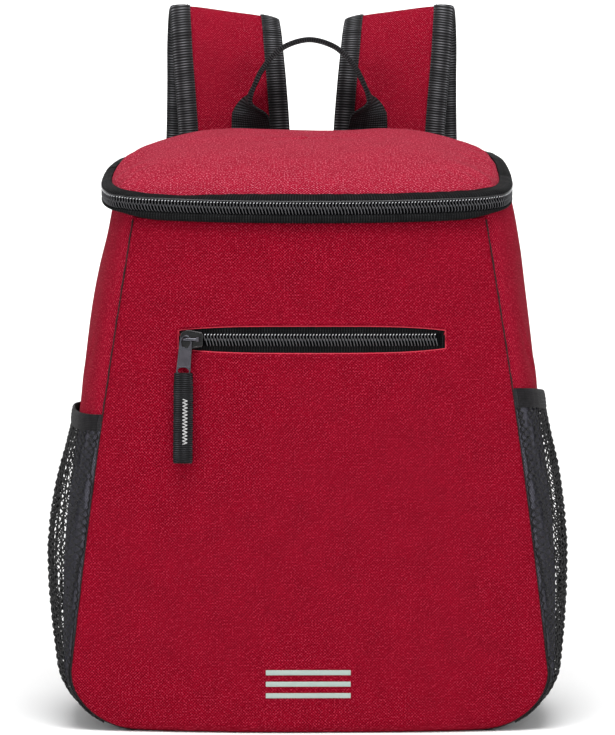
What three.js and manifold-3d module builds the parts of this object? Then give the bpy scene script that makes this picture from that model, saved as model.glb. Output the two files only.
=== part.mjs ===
// A soft insulated cooler backpack with a domed zip lid, a front zip pocket and two mesh side pockets.
// Millimetres, +Z up, the front faces -Y, and the origin lies under the middle of the flat base.
import * as THREE from 'three';
import { mergeVertices } from 'three/addons/utils/BufferGeometryUtils.js';
import Module from 'manifold-3d';

const wasm = await Module();
wasm.setup();

// Body
const frontHeight = 328; // base to zip band at the middle of the front
const baseDepth = 165; // front seam to back face at the base
const frontLean = 14.5; // how far the front seams lean back up to the zip band
const bottomHalf = 154; // half width between the front seams above the bottom corners
const topHalf = 114; // half width between the front seams at the zip band
const seamSwell = 2.2; // how far the front seams bow outwards
const cornerWidth = 50; // bottom corner across
const cornerHeight = 38; // bottom corner upwards
const sideBulge = 21; // belly of a side panel beyond its seams
const bulgeRise = 80; // height over which that belly grows
const shoulderHeight = 60; // the back panel narrows over this height below the rim
const shoulderInset = 24; // by this much on each side
const shoulderBelly = 5; // and the side panels belly out more there
const frontBulge = 17; // belly of the front panel
const baseBulge = 12; // belly of the front panel at its bottom edge
const lidTilt = 10.5; // slope of the rim up to the back, in degrees
const gap = 0.3; // between pieces that are sewn together

// Walls
const pocketPanelWall = 1.8;
const insulatedWall = 5;
const backWall = 6;
const baseWall = 5;
const lidWall = 5.5;

// Zip band and lid
const lowerTapeHeight = 7;
const chainHeight = 8;
const upperTapeHeight = 3.6;
const bandProud = 4.6; // how far the zip stands out from the body
const chainThickness = 3.2;
const tapeLap = 2; // how far the upper tape reaches in over the rim
const lowerTapeLap = 3; // and the lower tape
const domeHeight = 19.4; // crest of the lid above the zip band
const hingeHalf = 68; // half length of the sewn hinge between the zip ends

// Front pocket
const pocketZipHeight = 253;
const pocketZipHalf = 85.5;
const pocketZipOpening = 16.6; // height of the slot at its middle
const pocketZipTaper = 0.34; // share of the height that it loses towards its ends
const pocketZipShift = 1.6; // the slot lies a little right of the middle
const pocketChainHeight = 8.3;
const pocketChainThickness = 2.2;
const zipTapeWall = 1.1;
const zipTapeRecess = 0.6;

// Slider and puller of the front pocket
const sliderX = -75.6;
const sliderLength = 13;
const sliderHeight = 10.4;
const sliderBody = 3;
const crownWall = 1.6;
const crownHeight = 2;
const pullerWall = 1.6;
const pullerClearance = 0.6;
const pullerTopHalf = 4.15;
const pullerBottomHalf = 4.7;
const pullerLength = 27;
const eyeWire = 1.2;
const eyeHeight = 7;
const tapeHoleHeight = 4.4;
const tapeHoleWidth = 7.4;
const tapeSill = 1.8; // metal below that hole
const pullTapeWidth = 12.2;
const pullTapeLength = 55;
const pullTapeWall = 1.2;

// Reflective bars
const barLength = 54.5;
const barHeight = 3.2;
const barPitch = 7.4;
const barLowest = 24.5;
const barShift = -0.8;
const barWall = 0.5;
const barCount = 3;

// Side pockets
const meshWall = 1.2;
const hemWall = 1.8;
const hemHeight = 12.5;
const pocketMouth = 8; // room behind the hem, towards the back
const netGap = 0.8; // between the side panel and what lies on it
const pocketFoot = 56; // how far the net reaches round the bottom corner, in degrees
const hemLap = 6; // the dark backing starts this far below the top of the hem
const pockets = [
  { side: -1, name: 'left', top: 0.622 * frontHeight, fall: 0, belly: 0.055 * bottomHalf },
  { side: 1, name: 'right', top: 0.674 * frontHeight, fall: 0.0335 * frontHeight, belly: 0.039 * bottomHalf },
];

// Straps and handle
const strapWidth = 72;
const strapThickness = 8;
const strapEdge = 3;
const bindingWidth = 13;
const bindingWall = 0.9;
const bindingGap = 0.6;
const strapSpread = 0.636 * bottomHalf; // centre of the strap at its lower end
const strapReach = 70; // how far the strap stands out behind the back
const strapRise = 107; // crest of the strap above the back panel
const webbingWidth = 25;
const webbingWall = 1.6;
const webbingFoot = 0.812 * bottomHalf; // centre of the sewn lower end
const tailLength = 60;
const adjusterWidth = 33;
const adjusterWall = 3.6;
const adjusterBar = 3;
const adjusterSlot = 5;
const handleHalf = 41;
const handleRise = 90; // crest of the handle above the back panel
const handleWall = 3.2;
const handleForward = 13; // how far the arch comes forward of the back face

const { degToRad, lerp } = THREE.MathUtils;
const backY = baseDepth / 2;
const flatHalf = bottomHalf - cornerWidth;
const panelInset = pocketPanelWall + gap;
const columns = 10; // half of the facets across the front
const sideColumns = 10; // facets across a side panel

// Outline of the body

function seamHalf(z) {
  if (z < cornerHeight) {
    const drop = 1 - z / cornerHeight;
    return flatHalf + cornerWidth * Math.sqrt(1 - drop * drop);
  }
  const share = (z - cornerHeight) / (frontHeight - cornerHeight);
  return lerp(bottomHalf, topHalf, share) + seamSwell * Math.sin(Math.PI * share);
}

function seamY(z) {
  return frontLean * z / frontHeight - baseDepth / 2;
}

// Outer face of the front panel, moved inwards by depth: a belly that is flat in the middle and turns at
// the seams.
function frontY(x, z, depth = 0) {
  const belly = baseBulge + (frontBulge - baseBulge) * Math.sin(0.6 * Math.PI * z / frontHeight);
  const across = Math.min(Math.abs(x) / seamHalf(z), 1);
  return seamY(z) - belly * (1 - across ** 2.2) ** 0.8 + depth;
}

function rimZ(y) {
  return frontHeight + Math.tan(degToRad(lidTilt)) * (y - frontY(0, frontHeight));
}

const backHeight = rimZ(backY);

function backHalf(z) {
  const shoulder = Math.max(0, 1 - (backHeight - z) / shoulderHeight);
  return seamHalf(z) - shoulderInset * shoulder ** 2;
}

// Outer face of a side panel: k runs from the front seam to the back panel, corner from 0 up the side to
// 90 degrees at the flat base, and inset moves the face inwards.
function sidePoint(side, k, z, corner = 0, inset = 0) {
  const turn = Math.PI * k / sideColumns;
  const deep = (1 - Math.cos(turn)) / 2;
  const shoulder = Math.max(0, 1 - (backHeight - z) / shoulderHeight);
  const room = sideBulge * (1 - Math.exp(-z / bulgeRise)) + shoulderBelly * shoulder ** 2;
  const belly = room * Math.sin(turn) ** 0.8;
  const y = lerp(seamY(z) + panelInset, backY - backWall - gap, deep);
  if (corner === 0) {
    return new THREE.Vector3(side * (lerp(seamHalf(z), backHalf(z), deep) + belly - inset), y, z);
  }
  const angle = degToRad(corner);
  const across = flatHalf + (cornerWidth + belly - inset) * Math.cos(angle);
  return new THREE.Vector3(side * across, y, cornerHeight - (cornerHeight - inset) * Math.sin(angle));
}

function cornerZ(corner) {
  return cornerHeight * (1 - Math.sin(degToRad(corner)));
}

// Solids

// Builds a closed mesh from shared points, and turns it inside out where its faces point inwards.
function closedGeometry(points, triangles) {
  const cross = new THREE.Vector3();
  const tetrahedron = ([a, b, c]) => points[a].dot(cross.crossVectors(points[b], points[c]));
  const volume = triangles.reduce((sum, triangle) => sum + tetrahedron(triangle), 0);
  const facing = volume < 0 ? triangles.map(([a, b, c]) => [a, c, b]) : triangles;
  const geometry = new THREE.BufferGeometry().setFromPoints(points);
  geometry.setIndex(facing.flat());
  geometry.computeVertexNormals();
  return geometry;
}

function bandTriangles(rows, size, closed) {
  const triangles = [];
  const spans = closed ? rows : rows - 1;
  for (let row = 0; row < spans; row += 1) {
    const here = row * size;
    const next = ((row + 1) % rows) * size;
    for (let k = 0; k < size; k += 1) {
      const step = (k + 1) % size;
      triangles.push([here + k, next + k, here + step]);
      triangles.push([here + step, next + k, next + step]);
    }
  }
  return triangles;
}

// Joins a row of outlines into one solid. Each outline runs along one face and back along the other, so
// that its ends close as a strip; a ring closes on itself.
function sweepSolid(outlines, ring = false) {
  const size = outlines[0].length;
  const triangles = bandTriangles(outlines.length, size, ring);
  if (!ring) {
    const last = (outlines.length - 1) * size;
    for (let k = 0; k < size / 2 - 1; k += 1) {
      const far = size - 1 - k;
      triangles.push([k, k + 1, far], [k + 1, far - 1, far]);
      triangles.push([last + k, last + far, last + k + 1], [last + k + 1, last + far, last + far - 1]);
    }
  }
  return closedGeometry(outlines.flat(), triangles);
}

// A sheet with thickness: rows of points on its outer face and as many on its inner face.
function sheetSolid(outerRows, innerRows) {
  return sweepSolid(outerRows.map((row, index) => [...row, ...[...innerRows[index]].reverse()]));
}

// Stacked loops that close in a tip at both ends, as a dome with its inner face does.
function tippedSolid(startTip, loops, endTip) {
  const size = loops[0].length;
  const triangles = bandTriangles(loops.length, size, false);
  const points = [...loops.flat(), startTip, endTip];
  const last = (loops.length - 1) * size;
  for (let k = 0; k < size; k += 1) {
    const step = (k + 1) % size;
    triangles.push([k, step, points.length - 2], [last + step, last + k, points.length - 1]);
  }
  return closedGeometry(points, triangles);
}

function toManifold(geometry) {
  const plain = geometry.clone();
  plain.deleteAttribute('normal');
  plain.deleteAttribute('uv');
  const merged = mergeVertices(plain);
  const vertProperties = new Float32Array(merged.attributes.position.array);
  const triVerts = new Uint32Array(merged.index.array);
  return new wasm.Manifold(new wasm.Mesh({ numProp: 3, vertProperties, triVerts }));
}

function fromManifold(solid) {
  const mesh = solid.getMesh();
  const geometry = new THREE.BufferGeometry();
  geometry.setAttribute('position', new THREE.BufferAttribute(new Float32Array(mesh.vertProperties), 3));
  geometry.setIndex(new THREE.BufferAttribute(new Uint32Array(mesh.triVerts), 1));
  geometry.computeVertexNormals();
  return geometry;
}

function join(...geometries) {
  return fromManifold(geometries.map(toManifold).reduce((sum, solid) => sum.add(solid)));
}

function cut(geometry, cutter) {
  return fromManifold(toManifold(geometry).subtract(toManifold(cutter)));
}

function box(width, height, depth, x = 0, y = 0, z = 0) {
  return new THREE.BoxGeometry(width, height, depth).translate(x, y, z);
}

function extrude(shape, depth, curveSegments = 8) {
  return new THREE.ExtrudeGeometry(shape, { depth, curveSegments, bevelEnabled: false });
}

// A strip that follows the front panel between two x, with its half height and its two depths below the
// outer face.
function frontStrip({ from, to, height, halfHeight, outerDepth, innerDepth, steps }) {
  const outlines = [];
  for (let step = 0; step <= steps; step += 1) {
    const x = lerp(from, to, step / steps);
    const half = halfHeight((2 * step) / steps - 1);
    const top = height + half;
    const bottom = height - half;
    outlines.push([
      new THREE.Vector3(x, frontY(x, bottom, outerDepth), bottom),
      new THREE.Vector3(x, frontY(x, top, outerDepth), top),
      new THREE.Vector3(x, frontY(x, top, innerDepth), top),
      new THREE.Vector3(x, frontY(x, bottom, innerDepth), bottom),
    ]);
  }
  return sweepSolid(outlines);
}

// Materials

const redCloth = { color: 0xa01c30, roughness: 0.85, metalness: 0 };
const blackWebbing = { color: 0x2b2b2d, roughness: 0.8, metalness: 0 };
const darkCloth = { color: 0x34343a, roughness: 0.85, metalness: 0 };
const blackNet = { color: 0x2a2a2c, roughness: 0.7, metalness: 0 };
const zipPlastic = { color: 0x1d1d1f, roughness: 0.35, metalness: 0 };
const darkMetal = { color: 0x6a6c6e, roughness: 0.35, metalness: 0.9 };
const bucklePlastic = { color: 0x1b1b1c, roughness: 0.45, metalness: 0 };
const reflective = { color: 0xc6cdca, roughness: 0.35, metalness: 0.2 };

const group = new THREE.Group();

function addPiece(name, geometry, material, parent = group) {
  const mesh = new THREE.Mesh(geometry, new THREE.MeshStandardMaterial(material));
  mesh.name = name;
  parent.add(mesh);
  return mesh;
}

// Front panel and the insulated wall behind it

// Rows of points on the front face from its bottom edge to the rim, with the edge drawn in by inset.
function frontRows(inset, depth) {
  const corners = [90, 72, 54, 36, 18];
  const heights = [0, 0.2, 0.4, 0.6, 0.8, 1];
  const rowAt = (half, zAt) => {
    const row = [];
    for (let k = -columns; k <= columns; k += 1) {
      const x = half * Math.sin(Math.PI / 2 * k / columns);
      row.push(new THREE.Vector3(x, frontY(x, zAt(x), depth), zAt(x)));
    }
    return row;
  };
  const lower = corners.map((corner) => {
    const angle = degToRad(corner);
    const z = cornerHeight - (cornerHeight - inset) * Math.sin(angle);
    return rowAt(flatHalf + (cornerWidth - inset) * Math.cos(angle), () => z);
  });
  const upper = heights.map((share) => {
    const zAt = (x) => lerp(cornerHeight, rimZ(frontY(x, frontHeight)), share);
    return rowAt(seamHalf(lerp(cornerHeight, frontHeight, share)) - inset, zAt);
  });
  return [...lower, ...upper];
}

// The zip slot is a long lens, lower at its ends.
function slotHalf(share, clearance = 0) {
  return (pocketZipOpening / 2) * (1 - pocketZipTaper * share ** 4) - clearance;
}

const zipMiddle = { height: pocketZipHeight, steps: 16 };
const slotCutter = frontStrip({
  ...zipMiddle,
  from: pocketZipShift - pocketZipHalf,
  to: pocketZipShift + pocketZipHalf,
  halfHeight: (share) => slotHalf(share),
  outerDepth: -pocketPanelWall,
  innerDepth: panelInset - gap / 2,
});
const pocketPanel = sheetSolid(frontRows(0, 0), frontRows(0, pocketPanelWall));
addPiece('front_pocket_panel', cut(pocketPanel, slotCutter), redCloth);

const wallInset = insulatedWall + 2 * gap;
const wallFront = frontRows(wallInset, panelInset);
const wallBack = frontRows(wallInset, panelInset + insulatedWall);
addPiece('front_wall', sheetSolid(wallFront, wallBack), redCloth);

// Side panels: red above the hem of the pocket, dark backing behind the net

function splitZ(pocket, k) {
  const share = (1 - Math.cos(Math.PI * k / sideColumns)) / 2;
  return pocket.top - pocket.fall * share;
}

function sideRow(zAt, side, inset, corner = 0) {
  const row = [];
  for (let k = 0; k <= sideColumns; k += 1) {
    row.push(sidePoint(side, k, zAt(k), corner, inset));
  }
  return row;
}

function upperSideRows(pocket, inset) {
  return [0, 0.25, 0.5, 0.75, 1].map((share) => sideRow((k) => {
    const start = splitZ(pocket, k) - hemLap;
    const top = rimZ(sidePoint(pocket.side, k, frontHeight).y);
    return lerp(start, top, share);
  }, pocket.side, inset));
}

function lowerSideRows(pocket, inset) {
  const straight = [1, 0.75, 0.5, 0.25, 0.1, 0].map((share) => sideRow((k) => {
    const top = splitZ(pocket, k) - hemLap - gap;
    return lerp(cornerHeight, top, share);
  }, pocket.side, inset));
  const roundRow = (corner) => sideRow(() => cornerZ(corner), pocket.side, inset, corner);
  return [...straight, ...[18, 36, 54, 72, 90].map(roundRow)];
}

for (const pocket of pockets) {
  const upper = sheetSolid(upperSideRows(pocket, 0), upperSideRows(pocket, insulatedWall));
  const lower = sheetSolid(lowerSideRows(pocket, 0), lowerSideRows(pocket, insulatedWall));
  addPiece(`side_upper_${pocket.name}`, upper, redCloth);
  addPiece(`side_lower_${pocket.name}`, lower, darkCloth);
}

// Base and padded back

const baseEdge = flatHalf - gap;
const baseOutlines = [];
for (let k = -columns; k <= columns; k += 1) {
  const x = baseEdge * Math.sin(Math.PI / 2 * k / columns);
  const front = frontY(x, 0, panelInset);
  const back = backY - backWall - gap;
  baseOutlines.push([
    new THREE.Vector3(x, front, 0),
    new THREE.Vector3(x, back, 0),
    new THREE.Vector3(x, back, baseWall),
    new THREE.Vector3(x, front, baseWall),
  ]);
}
addPiece('base_panel', sweepSolid(baseOutlines), redCloth);

const backLevels = [90, 72, 54, 36, 18].map(cornerZ);
for (const share of [0, 0.3, 0.6, 0.8, 0.86, 0.91, 0.96]) {
  backLevels.push(lerp(cornerHeight, backHeight, share));
}
const backEdges = [...backLevels.map((z) => [z, z]), [backHeight, rimZ(backY - backWall)]];
const backOutlines = backEdges.map(([outer, inner]) => {
  const half = backHalf(outer);
  return [
    new THREE.Vector3(-half, backY, outer),
    new THREE.Vector3(half, backY, outer),
    new THREE.Vector3(half, backY - backWall, inner),
    new THREE.Vector3(-half, backY - backWall, inner),
  ];
});
addPiece('back_panel', sweepSolid(backOutlines), darkCloth);

// Rim: the closed plan curve along the top of the body, and the pieces that stack on it

function rimPlan() {
  const points = [];
  for (let k = -columns; k <= columns; k += 1) {
    const x = topHalf * Math.sin(Math.PI / 2 * k / columns);
    points.push([x, frontY(x, frontHeight)]);
  }
  const sides = [1, -1].map((side) => {
    const arc = [];
    for (let k = 1; k < sideColumns; k += 1) {
      const y = sidePoint(side, k, frontHeight).y;
      arc.push([sidePoint(side, k, rimZ(y)).x, y]);
    }
    return arc;
  });
  const edge = backHalf(backHeight);
  const backX = [edge, hingeHalf, 0.5 * hingeHalf, 0, -0.5 * hingeHalf, -hingeHalf, -edge];
  return [...points, ...sides[0], ...backX.map((x) => [x, backY]), ...sides[1].reverse()];
}

const rim = rimPlan();
const rimHalf = Math.max(...rim.map(([x]) => x));
const rimFront = -frontY(0, frontHeight);
const rightHinge = 2 * columns + sideColumns + 1; // the rim point where the chain ends on the right
const leftHinge = rightHinge + 4;

// A point over the rim: offset outwards from the body at the front and sides, with the proud zip flush at
// the back, rise above the top edge, and drawn in towards the middle by share.
function rimPoint([x, y], offset, rise, share = 1) {
  const reach = y < 0 ? offset / rimFront : (offset - bandProud) / backY;
  const outY = y * share * (1 + reach);
  return new THREE.Vector3(x * share * (1 + offset / rimHalf), outY, rimZ(outY) + rise);
}

function rimOutlines(plan, section) {
  return plan.map((point) => section.map(([offset, rise]) => rimPoint(point, offset, rise)));
}

const chainFloor = lowerTapeHeight + gap;
const chainTop = chainFloor + chainHeight;
const tapeFloor = chainTop + gap;
const bandTop = tapeFloor + upperTapeHeight;
const chainInner = bandProud - chainThickness;

const tapeProud = bandProud - 0.6;
addPiece('zip_tape_lower', sweepSolid(rimOutlines(rim, [
  [1.2, gap], [tapeProud, lowerTapeHeight / 2], [tapeProud, lowerTapeHeight],
  [chainInner - 1.4, lowerTapeHeight], [-lowerTapeLap, gap],
]), true), blackWebbing);

const chainSection = [
  [bandProud, chainFloor], [bandProud, chainTop], [chainInner, chainTop], [chainInner, chainFloor],
];
const chainPlan = [];
for (let k = leftHinge; k <= rightHinge + rim.length; k += 1) {
  chainPlan.push(rim[k % rim.length]);
}
addPiece('main_zip_chain', sweepSolid(rimOutlines(chainPlan, chainSection)), zipPlastic);

const hingePlan = [hingeHalf - 1, 0, 1 - hingeHalf].map((x) => [x, backY]);
addPiece('lid_hinge_strip', sweepSolid(rimOutlines(hingePlan, chainSection)), blackWebbing);

addPiece('zip_tape_upper', sweepSolid(rimOutlines(rim, [
  [bandProud - 0.2, tapeFloor], [bandProud - 1.2, tapeFloor + 0.5 * upperTapeHeight],
  [-tapeLap, bandTop], [-tapeLap, tapeFloor],
]), true), blackWebbing);

// Lid: a padded dome inside the upper tape

function domeLoop(share, inset, lift) {
  return rim.map((point) => rimPoint(point, -inset, lift, share));
}

function domeLift(share, height) {
  return height * (1 - share ** 3.2) ** 0.7;
}

const lidInset = tapeLap + gap;
const outerShares = [0.3, 0.55, 0.75, 0.88, 0.96, 1];
const innerShares = [0.45, 0.75, 0.93, 1];
const outerDome = outerShares.map((share) => (
  domeLoop(share, lidInset, bandTop + domeLift(share, domeHeight))
));
const innerFloor = tapeFloor + 0.5; // where the lid's inner face starts
const innerHeight = bandTop + domeHeight - lidWall - innerFloor;
const innerDome = innerShares.map((share) => (
  domeLoop(share, lidInset + lidWall, innerFloor + domeLift(share, innerHeight))
));
const skirt = [lidInset, lidInset + lidWall].map((inset) => domeLoop(1, inset, tapeFloor));
const crest = new THREE.Vector3(0, 0, rimZ(0) + bandTop + domeHeight);
const ceiling = new THREE.Vector3(0, 0, crest.z - lidWall);
const lidLoops = [...outerDome, ...skirt, ...innerDome.reverse()];
addPiece('lid_panel', tippedSolid(crest, lidLoops, ceiling), redCloth);

// Main zip slider with its plain pull, at the rear right end of the chain

const mainSlider = new THREE.Group();
const sliderSeat = rim[2 * columns + sideColumns - 2];
const seatNext = rim[2 * columns + sideColumns - 1];
const sliderPoint = rimPoint(sliderSeat, bandProud + gap, chainFloor + chainHeight / 2);
const sliderTurn = Math.atan2(seatNext[1] - sliderSeat[1], seatNext[0] - sliderSeat[0]);
mainSlider.position.copy(sliderPoint);
mainSlider.rotation.z = sliderTurn;
group.add(mainSlider);
const mainPull = { width: 6, length: 24, wall: 1.6 };
const pullMiddle = (mainPull.wall - mainPull.length) / 2;
addPiece('main_zip_slider', join(
  box(sliderLength, sliderBody, sliderHeight, 0, -sliderBody / 2, 0),
  box(mainPull.width, 2 * sliderBody, mainPull.wall, 0, -sliderBody, 0),
  box(mainPull.width, mainPull.wall, mainPull.length, 0, -2 * sliderBody, pullMiddle),
), darkMetal, mainSlider);

// Front pocket zip

addPiece('front_zip_tape', frontStrip({
  ...zipMiddle,
  from: pocketZipShift - pocketZipHalf + gap,
  to: pocketZipShift + pocketZipHalf - gap,
  halfHeight: (share) => slotHalf(share, gap),
  outerDepth: zipTapeRecess,
  innerDepth: zipTapeRecess + zipTapeWall,
}), blackWebbing);

addPiece('front_zip_chain', frontStrip({
  ...zipMiddle,
  from: sliderX + sliderLength / 2 + 2 * gap,
  to: pocketZipShift + pocketZipHalf - 2,
  halfHeight: () => pocketChainHeight / 2,
  outerDepth: zipTapeRecess - gap - pocketChainThickness,
  innerDepth: zipTapeRecess - gap,
}), zipPlastic);

// The slider stands square on the curved front: x right, y up and z out of the panel.
function frontFrame(x, z) {
  const step = 1;
  const point = new THREE.Vector3(x, frontY(x, z), z);
  const across = new THREE.Vector3(2 * step, frontY(x + step, z) - frontY(x - step, z), 0).normalize();
  const upwards = new THREE.Vector3(0, frontY(x, z + step) - frontY(x, z - step), 2 * step).normalize();
  const outwards = new THREE.Vector3().crossVectors(across, upwards).normalize();
  const up = new THREE.Vector3(0, 0, 1).addScaledVector(outwards, -outwards.z).normalize();
  const right = new THREE.Vector3().crossVectors(up, outwards);
  const frame = new THREE.Group();
  frame.position.copy(point);
  frame.quaternion.setFromRotationMatrix(new THREE.Matrix4().makeBasis(right, up, outwards));
  group.add(frame);
  return frame;
}

const pocketSlider = frontFrame(sliderX, pocketZipHeight);
const sliderFoot = gap - zipTapeRecess;
const postX = crownWall + 0.4 - sliderLength / 2;
const pullerFloor = sliderBody + pullerClearance;
const crownUnder = pullerFloor + pullerWall + pullerClearance;
const crownTop = crownUnder + crownWall;
const crownLength = sliderLength - 2.2;
const crownLeft = postX - crownWall / 2;
addPiece('front_zip_slider', join(
  box(sliderLength, sliderHeight, sliderBody - sliderFoot, 0, 0, (sliderBody + sliderFoot) / 2),
  box(crownLength, crownHeight, crownWall, crownLeft + crownLength / 2, 0, crownUnder + crownWall / 2),
  box(crownWall, crownHeight, crownTop - 1, postX, 0, (crownTop + 1) / 2),
  box(crownWall, crownHeight, crownTop - 1, crownLeft + crownLength - crownWall / 2, 0, (crownTop + 1) / 2),
), darkMetal, pocketSlider);

// The puller hangs by its eye on the left post of the crown: its outline is drawn from that post.
const eyeHalf = pullerTopHalf - eyeWire;
const eyeTop = crownHeight / 2 + pullerClearance;
const eyeMiddle = eyeTop - eyeHeight / 2;
const pullerTop = eyeTop + eyeWire;
const pullerBottom = pullerTop - pullerLength;
const holeMiddle = pullerBottom + tapeSill + tapeHoleHeight / 2;
const pullerShape = new THREE.Shape();
pullerShape.moveTo(-pullerBottomHalf, pullerBottom);
pullerShape.lineTo(pullerBottomHalf, pullerBottom);
pullerShape.lineTo(pullerTopHalf, eyeMiddle);
pullerShape.absellipse(0, eyeMiddle, pullerTopHalf, pullerTop - eyeMiddle, 0, Math.PI, false, 0);
pullerShape.closePath();
const eye = new THREE.Path().absellipse(0, eyeMiddle, eyeHalf, eyeHeight / 2, 0, 2 * Math.PI, true, 0);
const tapeHole = new THREE.Path();
tapeHole.absellipse(0, holeMiddle, tapeHoleWidth / 2, tapeHoleHeight / 2, 0, 2 * Math.PI, true, 0);
pullerShape.holes.push(eye, tapeHole);
const puller = addPiece('front_zip_puller', extrude(pullerShape, pullerWall, 7), darkMetal, pocketSlider);
puller.position.set(postX, 0, pullerFloor);

// The pull tape loops through the lower hole, round the last bar of the puller, and is sewn flat below it.
const loopHalf = tapeHoleWidth / 2 - 1;
const loopOut = pullerWall / 2 + gap + pullTapeWall;
const holeSill = holeMiddle - (tapeHoleHeight / 2) * Math.sqrt(1 - (2 * loopHalf / tapeHoleWidth) ** 2);
const loopTop = holeSill + gap + pullTapeWall;
const slabTop = pullerBottom - 2 * gap;
const loopShape = new THREE.Shape();
const loopBevel = pullTapeWall / 2;
loopShape.moveTo(-loopOut, slabTop - pullTapeWall);
loopShape.lineTo(loopOut, slabTop - pullTapeWall);
loopShape.lineTo(loopOut, loopTop - loopBevel);
loopShape.lineTo(loopOut - loopBevel, loopTop);
loopShape.lineTo(loopBevel - loopOut, loopTop);
loopShape.lineTo(-loopOut, loopTop - loopBevel);
loopShape.closePath();
const barHole = new THREE.Path();
const barOut = pullerWall / 2 + gap;
barHole.moveTo(-barOut, slabTop + gap);
barHole.lineTo(-barOut, loopTop - pullTapeWall);
barHole.lineTo(barOut, loopTop - pullTapeWall);
barHole.lineTo(barOut, slabTop + gap);
barHole.closePath();
loopShape.holes.push(barHole);
const tapeLoop = extrude(loopShape, 2 * loopHalf).translate(0, 0, -loopHalf).rotateY(Math.PI / 2);
const tapeSlab = box(pullTapeWidth, pullTapeLength, 2 * pullTapeWall, 0, slabTop - pullTapeLength / 2, 0);
const pullTape = addPiece('front_zip_pull_tape', join(tapeLoop, tapeSlab), blackWebbing, pocketSlider);
pullTape.position.set(postX, 0, pullerFloor + pullerWall / 2);

// Reflective bars near the bottom of the front

for (let index = 0; index < barCount; index += 1) {
  addPiece(`reflective_bar_${index + 1}`, frontStrip({
    from: barShift - barLength / 2,
    to: barShift + barLength / 2,
    height: barLowest + index * barPitch,
    halfHeight: () => barHeight / 2,
    outerDepth: -gap - barWall,
    innerDepth: -gap,
    steps: 4,
  }), reflective);
}

// Net pockets: the net lies on the seams and the bottom corner and bellies out between them

// Room between the side panel and the net, for a share of the way up from the foot of the net to its hem:
// the mouth gapes towards the back, and the net bellies out below it.
function pocketRoom(pocket, share, k) {
  const place = k / sideColumns;
  const mouth = pocketMouth * share * Math.sin(Math.PI * place ** 3) ** 1.3;
  return mouth + pocket.belly * Math.sin(Math.PI * share ** 1.3) ** 1.2 * Math.sin(Math.PI * place) ** 1.2;
}

const footShare = 0.16; // the part of that way that lies round the bottom corner

function netRow(pocket, share, corner, wall) {
  const row = [];
  for (let k = 0; k <= sideColumns; k += 1) {
    const top = splitZ(pocket, k) - hemHeight;
    const z = corner > 0 ? cornerZ(corner) : lerp(cornerHeight, top, share);
    const along = corner > 0 ? footShare * (1 - corner / pocketFoot) : lerp(footShare, 1, share);
    row.push(sidePoint(pocket.side, k, z, corner, -(netGap + pocketRoom(pocket, along, k) + wall)));
  }
  return row;
}

const netSteps = [
  [1, 0], [0.84, 0], [0.68, 0], [0.52, 0], [0.36, 0], [0.2, 0], [0, 0.001],
  [0, 0.3 * pocketFoot], [0, 0.6 * pocketFoot], [0, 0.82 * pocketFoot], [0, pocketFoot],
];
for (const pocket of pockets) {
  const outer = netSteps.map(([share, corner]) => netRow(pocket, share, corner, meshWall));
  const inner = netSteps.map(([share, corner]) => netRow(pocket, share, corner, 0));
  addPiece(`pocket_net_${pocket.name}`, sheetSolid(outer, inner), blackNet);
}

function hemRow(pocket, lift, wall) {
  const room = (k) => netGap + pocketRoom(pocket, 1, k) + wall;
  const row = [];
  for (let k = 0; k <= sideColumns; k += 1) {
    row.push(sidePoint(pocket.side, k, splitZ(pocket, k) + lift, 0, -room(k)));
  }
  return row;
}

for (const pocket of pockets) {
  const lifts = [0, gap - hemHeight];
  const outer = lifts.map((lift) => hemRow(pocket, lift, hemWall));
  const inner = lifts.map((lift) => hemRow(pocket, lift, 0));
  addPiece(`pocket_hem_${pocket.name}`, sheetSolid(outer, inner), blackWebbing);
}

// Shoulder straps and handle: bands swept along a smooth path through a short table

// Rows hold the centre as shares of the named sizes, and roll as degrees that the band turns about its path.
function bandStations(rows, steps, toPoint) {
  const curve = new THREE.CatmullRomCurve3(rows.map(toPoint), false, 'centripetal');
  const stations = [];
  for (let step = 0; step <= steps; step += 1) {
    const place = step / steps;
    const row = place * (rows.length - 1);
    const low = Math.min(Math.floor(row), rows.length - 2);
    const roll = lerp(rows[low].roll, rows[low + 1].roll, row - low);
    stations.push({ point: curve.getPoint(place), tangent: curve.getTangent(place), roll });
  }
  return stations;
}

// The band's width direction lies level, square to its path, and is then turned about the path by roll.
function bandFrame({ point, tangent, roll }, side, level) {
  const width = level.clone().addScaledVector(tangent, -level.dot(tangent)).normalize();
  width.applyAxisAngle(tangent, -side * degToRad(roll));
  const normal = new THREE.Vector3().crossVectors(tangent, width).multiplyScalar(side).normalize();
  return { point, width, normal };
}

function framePoint(frame, across, out) {
  return frame.point.clone().addScaledVector(frame.width, across).addScaledVector(frame.normal, out);
}

function bandSolid(frames, section) {
  return sweepSolid(frames.map((frame) => section.map(([across, out]) => framePoint(frame, across, out))));
}

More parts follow.
